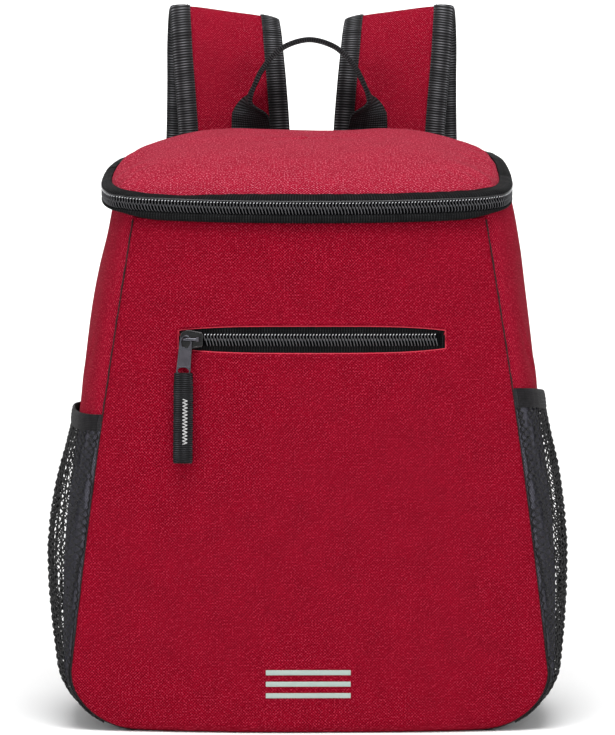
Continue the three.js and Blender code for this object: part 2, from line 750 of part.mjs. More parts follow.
const strapTop = backHeight + strapRise;
const strapRows = [
  { across: 0.53, out: 0.076, up: 0.645, roll: 0 },
  { across: 0.53, out: 0.08, up: 0.68, roll: 0 },
  { across: 0.53, out: 0.13, up: 0.715, roll: 0 },
  { across: 0.53, out: 0.129, up: 0.76, roll: 0 },
  { across: 0.54, out: 0.134, up: 0.83, roll: 0 },
  { across: 0.565, out: 0.19, up: 0.9, roll: 1 },
  { across: 0.585, out: 0.25, up: 0.944, roll: 3 },
  { across: 0.6, out: 0.343, up: 0.979, roll: 6 },
  { across: 0.615, out: 0.493, up: 1, roll: 8 },
  { across: 0.63, out: 0.65, up: 0.991, roll: 7 },
  { across: 0.64, out: 0.78, up: 0.957, roll: 5 },
  { across: 0.64, out: 0.864, up: 0.9, roll: 2 },
  { across: 0.65, out: 0.936, up: 0.8, roll: 0 },
  { across: 0.69, out: 1, up: 0.67, roll: 0 },
  { across: 0.78, out: 0.97, up: 0.52, roll: 0 },
  { across: 0.89, out: 0.86, up: 0.38, roll: 0 },
  { across: 1, out: 0.68, up: 0.26, roll: 0 },
];
const padInner = strapWidth / 2;
const padSection = [];
for (const share of [-1, -0.62, -0.25, 0.25, 0.62, 1]) {
  padSection.push([share * padInner, lerp(strapThickness, strapEdge, share ** 4) / 2]);
}
for (const [across, out] of [...padSection].reverse()) {
  padSection.push([across, -out]);
}

// A binding wraps the edge of the pad as a C.
const bindOuter = padInner + bindingGap + bindingWall;
const bindInner = bindOuter - bindingWidth;
const bindShare = bindInner / padInner;
const bindLift = lerp(strapThickness, strapEdge, bindShare ** 4) / 2 + bindingGap;
const edgeLift = strapEdge / 2 + bindingGap;
function bindingSection(side) {
  const bindEdge = padInner + bindingGap;
  const section = [
    [bindInner, bindLift + bindingWall], [bindOuter, edgeLift + bindingWall],
    [bindOuter, -edgeLift - bindingWall], [bindInner, -bindLift - bindingWall],
    [bindInner, -bindLift], [bindEdge, -edgeLift], [bindEdge, edgeLift], [bindInner, bindLift],
  ];
  return section.map(([across, out]) => [side * across, out]);
}

const strapSteps = 31;
for (const { side, name } of pockets) {
  const toPoint = ({ across, out, up }) => (
    new THREE.Vector3(side * across * strapSpread, backY + out * strapReach, up * strapTop)
  );
  const outwards = new THREE.Vector3(side, 0, 0);
  const stations = bandStations(strapRows, strapSteps, toPoint);
  const frames = stations.map((station) => bandFrame(station, side, outwards));
  addPiece(`strap_pad_${name}`, bandSolid(frames, padSection), redCloth);
  addPiece(`strap_binding_outer_${name}`, bandSolid(frames, bindingSection(1)), blackWebbing);
  addPiece(`strap_binding_inner_${name}`, bandSolid(frames, bindingSection(-1)), blackWebbing);
  addStrapEnd(frames[frames.length - 1], frames[frames.length - 2].point, side, name);
}

// Lower end of a strap: a webbing tab holds the top bar of the adjuster, and the webbing turns round its
// lower bar.
function addStrapEnd(end, before, side, name) {
  const level = new THREE.Vector3(1, 0, 0);
  const down = end.point.clone().sub(before).normalize();
  const out = new THREE.Vector3().crossVectors(level, down).normalize();
  const right = new THREE.Vector3().crossVectors(down, out);
  const place = (along, outwards) => (
    end.point.clone().addScaledVector(down, along).addScaledVector(out, outwards)
  );
  const slack = 0.4;
  const turn = Math.hypot(adjusterWall, adjusterBar) / 2 + slack + webbingWall / 2;
  const topBar = 2 * turn + 5;
  const lowerBar = topBar + 2 * adjusterBar + 2 * adjusterSlot;

  // A flat band of webbing along a path, level with the adjuster or, from the point levelFrom on, with
  // the bag.
  const webbingOutlines = (path, closed, levelFrom = path.length) => path.map((point, index) => {
    const last = path.length - 1;
    const after = path[closed ? (index + 1) % path.length : Math.min(index + 1, last)];
    const prior = path[closed ? (index + last) % path.length : Math.max(index - 1, 0)];
    const ahead = index < levelFrom ? after.clone().sub(prior).normalize() : new THREE.Vector3(0, 0, -1);
    const lateral = index < levelFrom - 1 ? right : level;
    const width = lateral.clone().addScaledVector(ahead, -lateral.dot(ahead)).normalize();
    const normal = new THREE.Vector3().crossVectors(ahead, width);
    width.multiplyScalar(webbingWidth / 2);
    normal.multiplyScalar(webbingWall / 2);
    const corner = (across, outwards) => (
      point.clone().addScaledVector(width, across).addScaledVector(normal, outwards)
    );
    return [corner(-1, 1), corner(1, 1), corner(1, -1), corner(-1, -1)];
  });

  // Half a turn round a bar, from one face of the adjuster to the other.
  const halfTurn = (middle, from, to) => {
    const points = [];
    for (let step = 0; step <= 4; step += 1) {
      const angle = degToRad(lerp(from, to, step / 4));
      points.push(place(middle + turn * Math.sin(angle), turn * Math.cos(angle)));
    }
    return points;
  };

  const tabTop = turn + webbingWall / 2 + gap + 1;
  const tab = [...halfTurn(tabTop, 180, 360), ...halfTurn(topBar + adjusterBar / 2, 0, 180)];
  addPiece(`strap_tab_${name}`, sweepSolid(webbingOutlines(tab, true), true), blackWebbing);

  const plate = new THREE.Shape();
  const half = adjusterWidth / 2;
  const length = lowerBar + adjusterBar - topBar;
  plate.moveTo(-half, 0);
  plate.lineTo(half, 0);
  plate.lineTo(half, length);
  plate.lineTo(-half, length);
  plate.closePath();
  const slotHalfWidth = webbingWidth / 2 + 1;
  for (const start of [adjusterBar, 2 * adjusterBar + adjusterSlot]) {
    const slot = new THREE.Path();
    slot.moveTo(-slotHalfWidth, start);
    slot.lineTo(-slotHalfWidth, start + adjusterSlot);
    slot.lineTo(slotHalfWidth, start + adjusterSlot);
    slot.lineTo(slotHalfWidth, start);
    slot.closePath();
    plate.holes.push(slot);
  }
  const adjuster = addPiece(`strap_adjuster_${name}`, extrude(plate, adjusterWall), bucklePlastic);
  adjuster.geometry.translate(0, 0, -adjusterWall / 2);
  adjuster.position.copy(place(topBar, 0));
  adjuster.quaternion.setFromRotationMatrix(new THREE.Matrix4().makeBasis(right, down, out));

  const footY = backY + gap + webbingWall / 2;
  const footX = side * webbingFoot;
  const lowerTurn = halfTurn(lowerBar + adjusterBar / 2, 0, -180);
  const tail = [place(lowerBar + tailLength, turn), place(lowerBar + tailLength / 2, turn)];
  const sewn = [1.15, 0.85, 0.6].map((share) => new THREE.Vector3(footX, footY, share * cornerHeight));
  const lastTurn = lowerTurn[lowerTurn.length - 1];
  const between = [0.4, 0.75].map((share) => lastTurn.clone().lerp(sewn[0], share));
  between[1].y += 1.5;
  const webbing = [...tail, ...lowerTurn, ...between, ...sewn];
  const levelFrom = webbing.length - sewn.length;
  addPiece(`strap_webbing_${name}`, sweepSolid(webbingOutlines(webbing, false, levelFrom)), blackWebbing);
}

// The handle lies flat on the back panel, turns edge on above the lid and arches over to its other end.
const handleTop = backHeight + handleRise;
const handleHalfRows = [
  { across: 0.97, out: 0, up: 0.745, roll: 0 },
  { across: 0.97, out: 0, up: 0.8, roll: 0 },
  { across: 0.97, out: 0, up: 0.848, roll: 0 },
  { across: 0.97, out: 0.2, up: 0.867, roll: 16 },
  { across: 0.98, out: 0.6, up: 0.888, roll: 52 },
  { across: 0.99, out: 0.85, up: 0.912, roll: 82 },
  { across: 0.885, out: 1, up: 0.936, roll: 90 },
  { across: 0.77, out: 1, up: 0.9565, roll: 90 },
  { across: 0.6, out: 1, up: 0.9725, roll: 90 },
  { across: 0.39, out: 1, up: 0.9866, roll: 90 },
];
const handleRows = [
  ...handleHalfRows.map((row) => ({ ...row, side: -1 })),
  { across: 0, out: 1, up: 1, roll: 90, side: 1 },
  ...[...handleHalfRows].reverse().map((row) => ({ ...row, roll: 180 - row.roll, side: 1 })),
];
const handleLift = gap + handleWall / 2;
const handlePoint = ({ side, across, out, up }) => (
  new THREE.Vector3(side * across * handleHalf, backY + handleLift - out * handleForward, up * handleTop)
);
const handleStations = bandStations(handleRows, 40, handlePoint);
// The arch turns over along its way, so its width starts across the bag and ends across it the other way
// round.
const handleFrames = handleStations.map((station) => {
  const { point, tangent, roll } = station;
  const across = new THREE.Vector3(Math.cos(degToRad(roll)), -Math.sin(degToRad(roll)), 0);
  const width = across.addScaledVector(tangent, -across.dot(tangent)).normalize();
  return { point, width, normal: new THREE.Vector3().crossVectors(tangent, width).normalize() };
});
const handleSection = [
  [-webbingWidth / 2, handleWall / 2], [webbingWidth / 2, handleWall / 2],
  [webbingWidth / 2, -handleWall / 2], [-webbingWidth / 2, -handleWall / 2],
];
addPiece('grab_handle', bandSolid(handleFrames, handleSection), blackWebbing);

export default group;
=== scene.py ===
import math

import bpy
import numpy as np
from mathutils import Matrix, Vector


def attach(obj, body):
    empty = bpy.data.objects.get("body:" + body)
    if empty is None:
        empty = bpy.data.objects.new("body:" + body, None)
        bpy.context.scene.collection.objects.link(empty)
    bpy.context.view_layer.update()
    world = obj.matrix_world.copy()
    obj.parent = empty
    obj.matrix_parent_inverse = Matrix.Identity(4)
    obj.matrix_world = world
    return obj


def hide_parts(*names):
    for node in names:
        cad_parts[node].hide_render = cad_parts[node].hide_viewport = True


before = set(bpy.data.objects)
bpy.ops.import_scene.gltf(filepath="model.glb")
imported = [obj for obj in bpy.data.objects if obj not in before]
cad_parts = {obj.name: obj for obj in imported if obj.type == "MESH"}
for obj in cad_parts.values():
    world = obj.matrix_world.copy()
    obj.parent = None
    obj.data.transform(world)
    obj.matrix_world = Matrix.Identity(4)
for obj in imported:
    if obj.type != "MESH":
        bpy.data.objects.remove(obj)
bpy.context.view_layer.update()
scene = bpy.context.scene
rng = np.random.default_rng(7)
mm = 0.001

# Sizes of the frame, in millimetres
frontHeight, baseDepth, frontLean = 328.0, 165.0, 14.5
bottomHalf, topHalf, seamSwell = 154.0, 114.0, 2.2
cornerWidth, cornerHeight = 50.0, 38.0
sideBulge, bulgeRise = 21.0, 80.0
shoulderHeight, shoulderInset, shoulderBelly = 60.0, 24.0, 5.0
frontBulge, baseBulge, lidTilt = 17.0, 12.0, math.radians(10.5)
gap, pocketPanelWall, backWall = 0.3, 1.8, 6.0
lowerTapeHeight, chainHeight, upperTapeHeight, bandProud = 5.6, 8.0, 3.6, 4.6
domeHeight, hingeHalf = 20.8, 68.0
zipZ, zipHalf, zipOpening, zipShift, zipTaper = 253.0, 85.5, 16.6, 1.6, 0.34
pockets = {
    "left": dict(side=-1, top=0.622 * frontHeight, fall=0.0, belly=0.055 * bottomHalf, hem=10.5),
    "right": dict(side=1, top=0.674 * frontHeight, fall=0.0335 * frontHeight, belly=0.039 * bottomHalf,
                  hem=12.5),
}
hemLap, pocketMouth, netGap, pocketFoot, footShare = 6.0, 8.0, 0.8, 56.0, 0.16
sideStep, sidePad = 17.0, 4.4  # depth of a side for each step of k, and its thickness
backY = baseDepth / 2
flatHalf = bottomHalf - cornerWidth
panelInset = pocketPanelWall + gap
bandTop = lowerTapeHeight + chainHeight + upperTapeHeight + 2 * gap


# Straight mix of a and b
def lerp(a, b, t):
    return a + (b - a) * t


# A smooth bump of height 1 at d = 0
def bell(d, width):
    return np.exp(-((d / width) ** 2))


# Vectors scaled to length 1
def unit(v):
    return v / np.linalg.norm(v, axis=-1, keepdims=True)


# Coordinates that are stacked to points on a grid
def grid(*parts):
    return np.stack(np.broadcast_arrays(*parts), -1)


# Length run along a line of points, at each point
def reachOf(line):
    return np.concatenate([[0], np.cumsum(np.linalg.norm(np.diff(line, axis=0), axis=1))])


# Rounds an edge off: how far the cloth turns in at a distance d from it
def rollOff(d, r):
    return r * (1 - np.sqrt(np.clip(1 - np.clip(1 - d / r, 0, 1) ** 2, 0, 1)))


# Half the front's width at its seam: a quarter ellipse at the bottom corner, then a taper that swells
def seamHalf(z):
    drop = 1 - np.clip(z, 0, cornerHeight) / cornerHeight
    low = flatHalf + cornerWidth * np.sqrt(1 - drop ** 2)
    share = (z - cornerHeight) / (frontHeight - cornerHeight)
    high = lerp(bottomHalf, topHalf, share) + seamSwell * np.sin(np.pi * share)
    return np.where(z < cornerHeight, low, high)


# The front seam leans back as it rises
def seamY(z):
    return frontLean * z / frontHeight - backY


# The front bulges from its seams by a flattened arch, the most at two thirds of its height
def frontY(x, z):
    belly = baseBulge + (frontBulge - baseBulge) * np.sin(0.6 * np.pi * z / frontHeight)
    across = np.minimum(np.abs(x) / seamHalf(z), 1)
    return seamY(z) - belly * (1 - across ** 2.2) ** 0.8


# The rim is a plane that rises to the back
def rimZ(y):
    return frontHeight + np.tan(lidTilt) * (y - frontY(0.0, frontHeight))


backHeight = float(rimZ(backY))


# 0 below the shoulders, 1 at the back's top
def shoulder(z):
    return np.clip(1 - (backHeight - z) / shoulderHeight, 0, None)


# Half the back's width: the seam's, drawn in at the shoulders
def backHalf(z):
    return seamHalf(z) - shoulderInset * shoulder(z) ** 2


# Outer face of a side: k from 0 at the front seam to 10 at the back, as half a cosine wave in depth,
# lift outwards, corner in degrees round the bottom
def sidePoint(side, k, z, corner, lift):
    turn = np.pi * k / 10
    deep = (1 - np.cos(turn)) / 2
    room = sideBulge * (1 - np.exp(-z / bulgeRise)) + shoulderBelly * shoulder(z) ** 2
    belly = room * np.clip(np.sin(turn), 0, 1) ** 0.8
    y = lerp(seamY(z) + panelInset, backY - backWall - gap, deep)
    phi = np.radians(corner)
    straight = lerp(seamHalf(z), backHalf(z), deep) + belly + lift
    curved = flatHalf + (cornerWidth + belly + lift) * np.cos(phi)
    x = side * np.where(corner > 0, curved, straight)
    height = np.where(corner > 0, cornerHeight - (cornerHeight + lift) * np.sin(phi), z)
    return grid(x, y, height)


# Girth of a side in mm: below 0 it turns round the bottom corner, above it runs up
cornerArc = 69.0


# A side's face by its girth
def sideAt(side, k, girth, lift):
    corner = np.clip(-girth / cornerArc, 0, 1) * 90
    z = np.where(girth < 0, cornerHeight * (1 - np.sin(np.radians(corner))), cornerHeight + girth)
    return sidePoint(side, k, z, corner, lift)


# A mesh from points in mm: faceSets are arrays of faces with as many corners each, uvSets their corners on
# the UV map
def makeMesh(name, verts, faceSets, material, uvSets=None, slotIndex=None, sharp=50.0):
    verts = np.asarray(verts, dtype=np.float64).reshape(-1, 3) * mm
    mesh = bpy.data.meshes.new(name)
    totals = np.concatenate([np.full(len(f), f.shape[1]) for f in faceSets])
    loops = np.concatenate([f.reshape(-1) for f in faceSets])
    mesh.vertices.add(len(verts))
    mesh.vertices.foreach_set("co", verts.reshape(-1))
    mesh.loops.add(len(loops))
    mesh.loops.foreach_set("vertex_index", loops.astype(np.int32))
    mesh.polygons.add(len(totals))
    starts = np.concatenate([[0], np.cumsum(totals)[:-1]])
    mesh.polygons.foreach_set("loop_start", starts.astype(np.int32))
    mesh.polygons.foreach_set("use_smooth", np.ones(len(totals), dtype=bool))
    if slotIndex is not None:
        mesh.polygons.foreach_set("material_index", slotIndex.astype(np.int32))
    if uvSets is not None:
        layer = mesh.uv_layers.new(name="UVMap")
        layer.data.foreach_set("uv", np.concatenate([u.reshape(-1) for u in uvSets]).astype(np.float32))
    mesh.update(calc_edges=True)
    mesh.validate()
    mesh.set_sharp_from_angle(angle=math.radians(sharp))
    obj = bpy.data.objects.new(name, mesh)
    scene.collection.objects.link(obj)
    for item in material if isinstance(material, (list, tuple)) else [material]:
        mesh.materials.append(item)
    return obj


# Hides the CAD parts that a piece stands for, and attaches the piece to its body
def register(obj, nodes, body="bag"):
    if nodes:
        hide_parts(*nodes)
    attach(obj, body)
    return obj


# Quads of a grid, and each one's corners as row and column; closed joins the last column to the first
def gridFaces(rows, cols, closed=False):
    spans = cols if closed else cols - 1
    i, j = np.meshgrid(np.arange(rows - 1), np.arange(spans), indexing="ij")
    k = (j + 1) % cols
    faces = np.stack([i * cols + j, i * cols + k, (i + 1) * cols + k, (i + 1) * cols + j], -1).reshape(-1, 4)
    corners = np.stack([np.stack([i, j], -1), np.stack([i, j + 1], -1), np.stack([i + 1, j + 1], -1),
                        np.stack([i + 1, j], -1)], -2).reshape(-1, 4, 2)
    return faces, corners


# Each face corner's place on the UV map, in metres
def cornerUv(uv, corners):
    return uv[corners[..., 0], corners[..., 1]] * mm


# Faces point outwards where the volume under them adds up above zero
def outward(verts, faceSets):
    verts = np.asarray(verts).reshape(-1, 3)
    total = 0.0
    for faces in faceSets:
        a, b, c = verts[faces[:, 0]], verts[faces[:, 1]], verts[faces[:, 2]]
        total += np.einsum("ij,ij->", a, np.cross(b, c))
        if faces.shape[1] == 4:
            d = verts[faces[:, 3]]
            total += np.einsum("ij,ij->", a, np.cross(c, d))
    return total > 0


# A closed sheet from its outer and inner grid, with walls round its edge and round any hole that keep leaves
def slab(name, outer, inner, uv, material, keep=None, closed=False, sharp=50.0):
    rows, cols = outer.shape[:2]
    faces, corners = gridFaces(rows, cols, closed)
    if keep is not None:
        faces, corners = faces[keep.reshape(-1)], corners[keep.reshape(-1)]
    count = rows * cols
    edges = np.concatenate([faces[:, [a, (a + 1) % 4]] for a in range(4)])
    edgeUv = np.concatenate([cornerUv(uv, corners)[:, [a, (a + 1) % 4]] for a in range(4)])
    code = edges[:, 0] * count + edges[:, 1]
    back = edges[:, 1] * count + edges[:, 0]
    rim = ~np.isin(code, back)
    e, u = edges[rim], edgeUv[rim]
    walls = np.stack([e[:, 1], e[:, 0], e[:, 0] + count, e[:, 1] + count], -1)
    wallUv = np.stack([u[:, 1], u[:, 0], u[:, 0], u[:, 1]], 1)
    verts = np.concatenate([outer.reshape(-1, 3), inner.reshape(-1, 3)])
    faceSets = [faces, faces[:, ::-1] + count, walls]
    faceUv = cornerUv(uv, corners)
    uvSets = [faceUv, faceUv[:, ::-1], wallUv]
    if not outward(verts, faceSets):
        faceSets = [f[:, ::-1] for f in faceSets]
        uvSets = [u[:, ::-1] for u in uvSets]
    used = np.unique(np.concatenate([f.reshape(-1) for f in faceSets]))
    remap = np.zeros(len(verts), dtype=np.int64)
    remap[used] = np.arange(len(used))
    return makeMesh(name, verts[used], [remap[f] for f in faceSets], material, uvSets, sharp=sharp)


# A closed skin swept along stations: sections (rows, cols, 3) round each station, with flat ends or a ring
def sweep(name, sections, uv, material, ring=False, slotIndex=None, sharp=50.0):
    rows, cols = sections.shape[:2]
    if ring:
        sections = np.concatenate([sections, sections[:1]])
    faces, corners = gridFaces(sections.shape[0], cols, True)
    if ring:
        faces = faces % (rows * cols)
    faceSets, uvSets = [faces], [cornerUv(uv, corners)]
    verts = sections[:rows].reshape(-1, 3)
    if not ring:
        ends = np.stack([np.arange(cols)[::-1], (rows - 1) * cols + np.arange(cols)])
        faceSets.append(ends)
        uvSets.append(np.stack([uv[0, :cols][::-1], uv[-1, :cols]]) * mm)
        if slotIndex is not None:
            slotIndex = np.concatenate([slotIndex, np.zeros(2)])
    if not outward(verts, faceSets):
        faceSets = [f[:, ::-1] for f in faceSets]
        uvSets = [u[:, ::-1] for u in uvSets]
    return makeMesh(name, verts, faceSets, material, uvSets, slotIndex, sharp)


# Many thin tubes at once: paths (count, points, 3), refs the direction that their section starts from
def tubes(name, paths, refs, radius, sides, material, flat=1.0, taper=0.35):
    count, points = paths.shape[:2]
    tangent = unit(np.gradient(paths, axis=1))
    first = unit(refs - tangent * np.sum(refs * tangent, -1, keepdims=True))
    second = np.cross(tangent, first)
    size = np.broadcast_to(radius, (count, points)).copy()
    size[:, [0, -1]] *= taper
    angle = (2 * np.pi * np.arange(sides) / sides)[:, None]
    ring = first[:, :, None] * np.cos(angle) * flat + second[:, :, None] * np.sin(angle)
    verts = paths[:, :, None] + ring * size[:, :, None, None]
    faces, _ = gridFaces(points, sides, True)
    step = (np.arange(count) * points * sides)[:, None, None]
    body = (faces[None] + step).reshape(-1, 4)
    ends = np.stack([np.arange(sides)[::-1], (points - 1) * sides + np.arange(sides)])
    caps = (ends[None] + step).reshape(-1, sides)
    return makeMesh(name, verts, [body, caps], material, sharp=70.0)


# Materials: colours are given as 0 to 255, and patterns run on the UV map in metres. Light share of a colour:
# a power of 2.4 above the straight start
def linear(r, g, b):
    shares = [c / 255 for c in (r, g, b)]
    return tuple(((c + 0.055) / 1.055) ** 2.4 if c > 0.04 else c / 12.92 for c in shares) + (1.0,)


# Links a node's output to a socket, or sets the socket's value
def feed(tree, socket, value):
    if isinstance(value, bpy.types.NodeSocket):
        tree.links.new(value, socket)
    else:
        socket.default_value = value


# A shader node with its inputs set or linked by name
def shadeNode(tree, kind, **inputs):
    node = tree.nodes.new(kind)
    for name, value in inputs.items():
        feed(tree, node.inputs[name], value)
    return node


# What a math node gives for up to three values or sockets
def maths(tree, operation, a, b=0.0, c=0.0):
    node = tree.nodes.new("ShaderNodeMath")
    node.operation = operation
    for socket, value in zip(node.inputs, (a, b, c)):
        feed(tree, socket, value)
    return node.outputs[0]


# Sine of a coordinate, with one wave for each pitch in mm
def waveOf(tree, coordinate, pitch):
    return maths(tree, "SINE", maths(tree, "MULTIPLY", coordinate, 2 * math.pi / (pitch * mm)))


# Straight mix of two colours by a factor
def mixColour(tree, factor, a, b):
    node = tree.nodes.new("ShaderNodeMix")
    node.data_type = "RGBA"
    for socket, value in ((node.inputs[0], factor), (node.inputs[6], a), (node.inputs[7], b)):
        feed(tree, socket, value)
    return node.outputs[2]


# A new material, its node tree and its shader
def newMaterial(name):
    material = bpy.data.materials.new(name)
    material.use_nodes = True
    tree = material.node_tree
    return material, tree, tree.nodes["Principled BSDF"]


# The piece's UV map, whole and as its two coordinates
def uvAxes(tree):
    uv = tree.nodes.new("ShaderNodeUVMap").outputs[0]
    split = shadeNode(tree, "ShaderNodeSeparateXYZ", Vector=uv)
    return uv, split.outputs[0], split.outputs[1]


# A vector times (x, y, z)
def scaled(tree, vector, x, y, z=1.0):
    node = tree.nodes.new("ShaderNodeVectorMath")
    node.operation = "MULTIPLY"
    feed(tree, node.inputs[0], vector)
    feed(tree, node.inputs[1], (x, y, z))
    return node.outputs[0]


# Noise over a vector, about 0.5 on average
def noise(tree, vector, scale, detail=2.0, rough=0.5):
    node = shadeNode(tree, "ShaderNodeTexNoise", Vector=vector, Scale=scale, Detail=detail, Roughness=rough)
    return node.outputs["Fac"]


# 0 at low and 1 at high, straight between
def ramp(tree, value, low, high):
    node = tree.nodes.new("ShaderNodeMapRange")
    for socket, given in zip(node.inputs, (value, low, high)):
        feed(tree, socket, given)
    return node.outputs[0]


# Tilts the shader's normal by the slope of a height
def addBump(tree, shader, height, distance, strength=1.0):
    bump = shadeNode(tree, "ShaderNodeBump", Height=height, Distance=distance, Strength=strength)
    tree.links.new(bump.outputs[0], shader.inputs["Normal"])


# Sets the shader's inputs and gives the material back
def finish(tree, shader, values, material):
    for name, value in values.items():
        feed(tree, shader.inputs[name], value)
    return material


# Plain weave of two-tone yarn: threads cross at pitch, and single crossings and short slubs are lighter
def wovenMaterial(name, dark, mid, light, pitch=1.9, fleck=0.6, depth=0.3, sheen=0.0, rough=0.9, shine=0.03):
    material, tree, shader = newMaterial(name)
    uv, u, v = uvAxes(tree)
    crossing = maths(tree, "MULTIPLY", waveOf(tree, u, pitch), waveOf(tree, v, pitch))
    weave = maths(tree, "MULTIPLY_ADD", crossing, 0.5, 0.5)
    crossings = noise(tree, scaled(tree, uv, 900, 900), 1.0, 0.0)
    slubs = noise(tree, scaled(tree, uv, 240, 1100), 1.0, 1.0)
    patches = noise(tree, scaled(tree, uv, 60, 60), 1.0, 3.0)
    flecks = maths(tree, "MULTIPLY", ramp(tree, crossings, 0.5, 0.72), weave)
    threads = maths(tree, "MULTIPLY", weave, 0.84)
    tone = maths(tree, "MULTIPLY_ADD", ramp(tree, slubs, 0.35, 0.75), 0.16, threads)
    tone = maths(tree, "ADD", tone, maths(tree, "MULTIPLY_ADD", patches, 0.24, -0.12))
    base = mixColour(tree, tone, linear(*dark), linear(*mid))
    flecked = mixColour(tree, maths(tree, "MULTIPLY", flecks, fleck), base, linear(*light))
    addBump(tree, shader, weave, depth * mm)
    return finish(tree, shader, {
        "Base Color": flecked, "Roughness": rough, "Specular IOR Level": shine, "Sheen Weight": sheen,
        "Sheen Roughness": 0.4, "Sheen Tint": (1.0, 0.6, 0.7, 1.0)}, material)


# Grosgrain and webbing: round ribs across the band at pitch, cut into dots by a finer cross thread
def ribbedMaterial(name, dark, light, pitch=1.4, axis=1, depth=0.35, rough=0.7, shine=0.15, thread=1.1):
    material, tree, shader = newMaterial(name)
    uv, u, v = uvAxes(tree)
    first, second = (v, u) if axis else (u, v)
    wobble = noise(tree, scaled(tree, uv, 220, 220), 1.0, 2.0)
    ribs = maths(tree, "MULTIPLY", first, 2 * math.pi / (pitch * mm))
    phase = maths(tree, "MULTIPLY_ADD", wobble, 1.6, ribs)
    rib = maths(tree, "MULTIPLY_ADD", maths(tree, "SINE", phase), 0.5, 0.5)
    dots = maths(tree, "MULTIPLY_ADD", waveOf(tree, second, thread), 0.25, 0.75)
    height = maths(tree, "MULTIPLY", rib, dots)
    patches = noise(tree, scaled(tree, uv, 160, 160), 1.0, 3.0)
    tone = maths(tree, "MULTIPLY", maths(tree, "MULTIPLY", height, height), ramp(tree, patches, 0.15, 0.7))
    addBump(tree, shader, height, depth * mm)
    return finish(tree, shader, {"Base Color": mixColour(tree, tone, linear(*dark), linear(*light)),
                                 "Roughness": rough, "Specular IOR Level": shine}, material)


# Plastic, metal, film or thread: a fine grain, with patches that are darker and glossier
def smoothMaterial(name, colour, rough, metal=0.0, grain=0.04, grainScale=900.0, variation=0.25):
    material, tree, shader = newMaterial(name)
    place = tree.nodes.new("ShaderNodeTexCoord").outputs["Object"]
    patches = noise(tree, place, 240.0, 3.0)
    full = linear(*colour)
    darker = tuple(c * (1 - variation) for c in full[:3]) + (1.0,)
    addBump(tree, shader, noise(tree, place, grainScale, 2.0), grain * mm)
    return finish(tree, shader, {"Base Color": mixColour(tree, ramp(tree, patches, 0.3, 0.7), darker, full),
                                 "Roughness": maths(tree, "MULTIPLY_ADD", patches, 0.2, rough - 0.1),
                                 "Metallic": metal}, material)


redCloth = wovenMaterial("redCloth", (58, 0, 3), (150, 5, 35), (206, 62, 88), pitch=1.9, fleck=0.6)
# The sides' cloth: the red cloth painted brighter and with more contrast, painted light that makes up for the
# weaker light on the sides
sideLitCloth = wovenMaterial("sideLitCloth", (66, 0, 6), (160, 12, 42), (222, 84, 108), pitch=2.2, fleck=0.5)
# The lid's cloth: the red cloth painted lighter and pinker, a painted highlight for the top light's sheen on
# the lid
lidLitCloth = wovenMaterial("lidLitCloth", (84, 0, 14), (172, 32, 58), (236, 132, 150), pitch=2.0, sheen=0.04,
                         fleck=0.55, depth=0.25)
strapCloth = wovenMaterial("strapCloth", (66, 0, 6), (156, 14, 42), (204, 78, 98), pitch=1.7, fleck=0.5)
darkCloth = wovenMaterial("darkCloth", (36, 36, 40), (86, 85, 94), (110, 110, 120), pitch=2.4)
liningCloth = wovenMaterial("liningCloth", (18, 18, 20), (44, 44, 47), (78, 78, 82), pitch=3.0)
bandCloth = ribbedMaterial("bandCloth", (4, 4, 5), (46, 47, 48), pitch=1.7, axis=0, depth=0.3, shine=0.08)
coilGround = ribbedMaterial("coilGround", (2, 2, 3), (10, 10, 11), pitch=1.5, axis=0, shine=0.03)
bindingCloth = ribbedMaterial("bindingCloth", (1, 1, 2), (124, 124, 128), pitch=1.75, depth=0.6, thread=1.8)
webCloth = ribbedMaterial("webCloth", (4, 4, 5), (76, 76, 80), pitch=1.6, depth=0.4, thread=1.6)
tapeCloth = ribbedMaterial("tapeCloth", (2, 2, 3), (66, 66, 70), pitch=1.35, depth=0.7, thread=5.0)
hemCloth = ribbedMaterial("hemCloth", (14, 13, 15), (60, 58, 61), pitch=1.6, axis=0, depth=0.3)
netYarn = smoothMaterial("netYarn", (12, 11, 13), 0.7, grain=0.05, grainScale=2500.0)
coilPlastic = smoothMaterial("coilPlastic", (70, 70, 73), 0.4, grain=0.01)
# Light grey for the painted highlights on the coil's tips
coilTipHighlight = smoothMaterial("coilTipHighlight", (206, 207, 210), 0.25, grain=0.01)
pipingPlastic = smoothMaterial("pipingPlastic", (26, 26, 28), 0.2, grain=0.01)
darkMetal = smoothMaterial("darkMetal", (88, 88, 94), 0.24, metal=1.0, grain=0.02)
plateMetal = smoothMaterial("plateMetal", (84, 82, 88), 0.42, metal=1.0, grain=0.06)
blackEnamel = smoothMaterial("blackEnamel", (10, 10, 11), 0.16, grain=0.01)
blackPlastic = smoothMaterial("blackPlastic", (14, 14, 15), 0.35, grain=0.05)
barFilm = smoothMaterial("barFilm", (152, 168, 161), 0.42, grain=0.01, variation=0.06)
darkThread = smoothMaterial("darkThread", (20, 3, 7), 0.9)
# A lighter red for the painted highlight along the slot's fold
foldHighlightRed = smoothMaterial("foldHighlightRed", (190, 22, 52), 0.6)
whiteThread = smoothMaterial("whiteThread", (176, 176, 176), 0.55, variation=0.12)


# Front panel: a softly filled cloth with its zip slot, whose edges fold in

# Half the slot's opening, which narrows to its ends
def slotHalf(x):
    share = np.clip((x - zipShift) / zipHalf, -1, 1)
    return (zipOpening / 2) * (1 - zipTaper * share ** 4)


# Distance from the slot's edge, outside it
def slotDistance(x, z):
    dx = np.clip(np.abs(x - zipShift) - zipHalf, 0, None)
    dz = np.clip(np.abs(z - zipZ) - slotHalf(x), 0, None)
    return np.hypot(dx, dz)


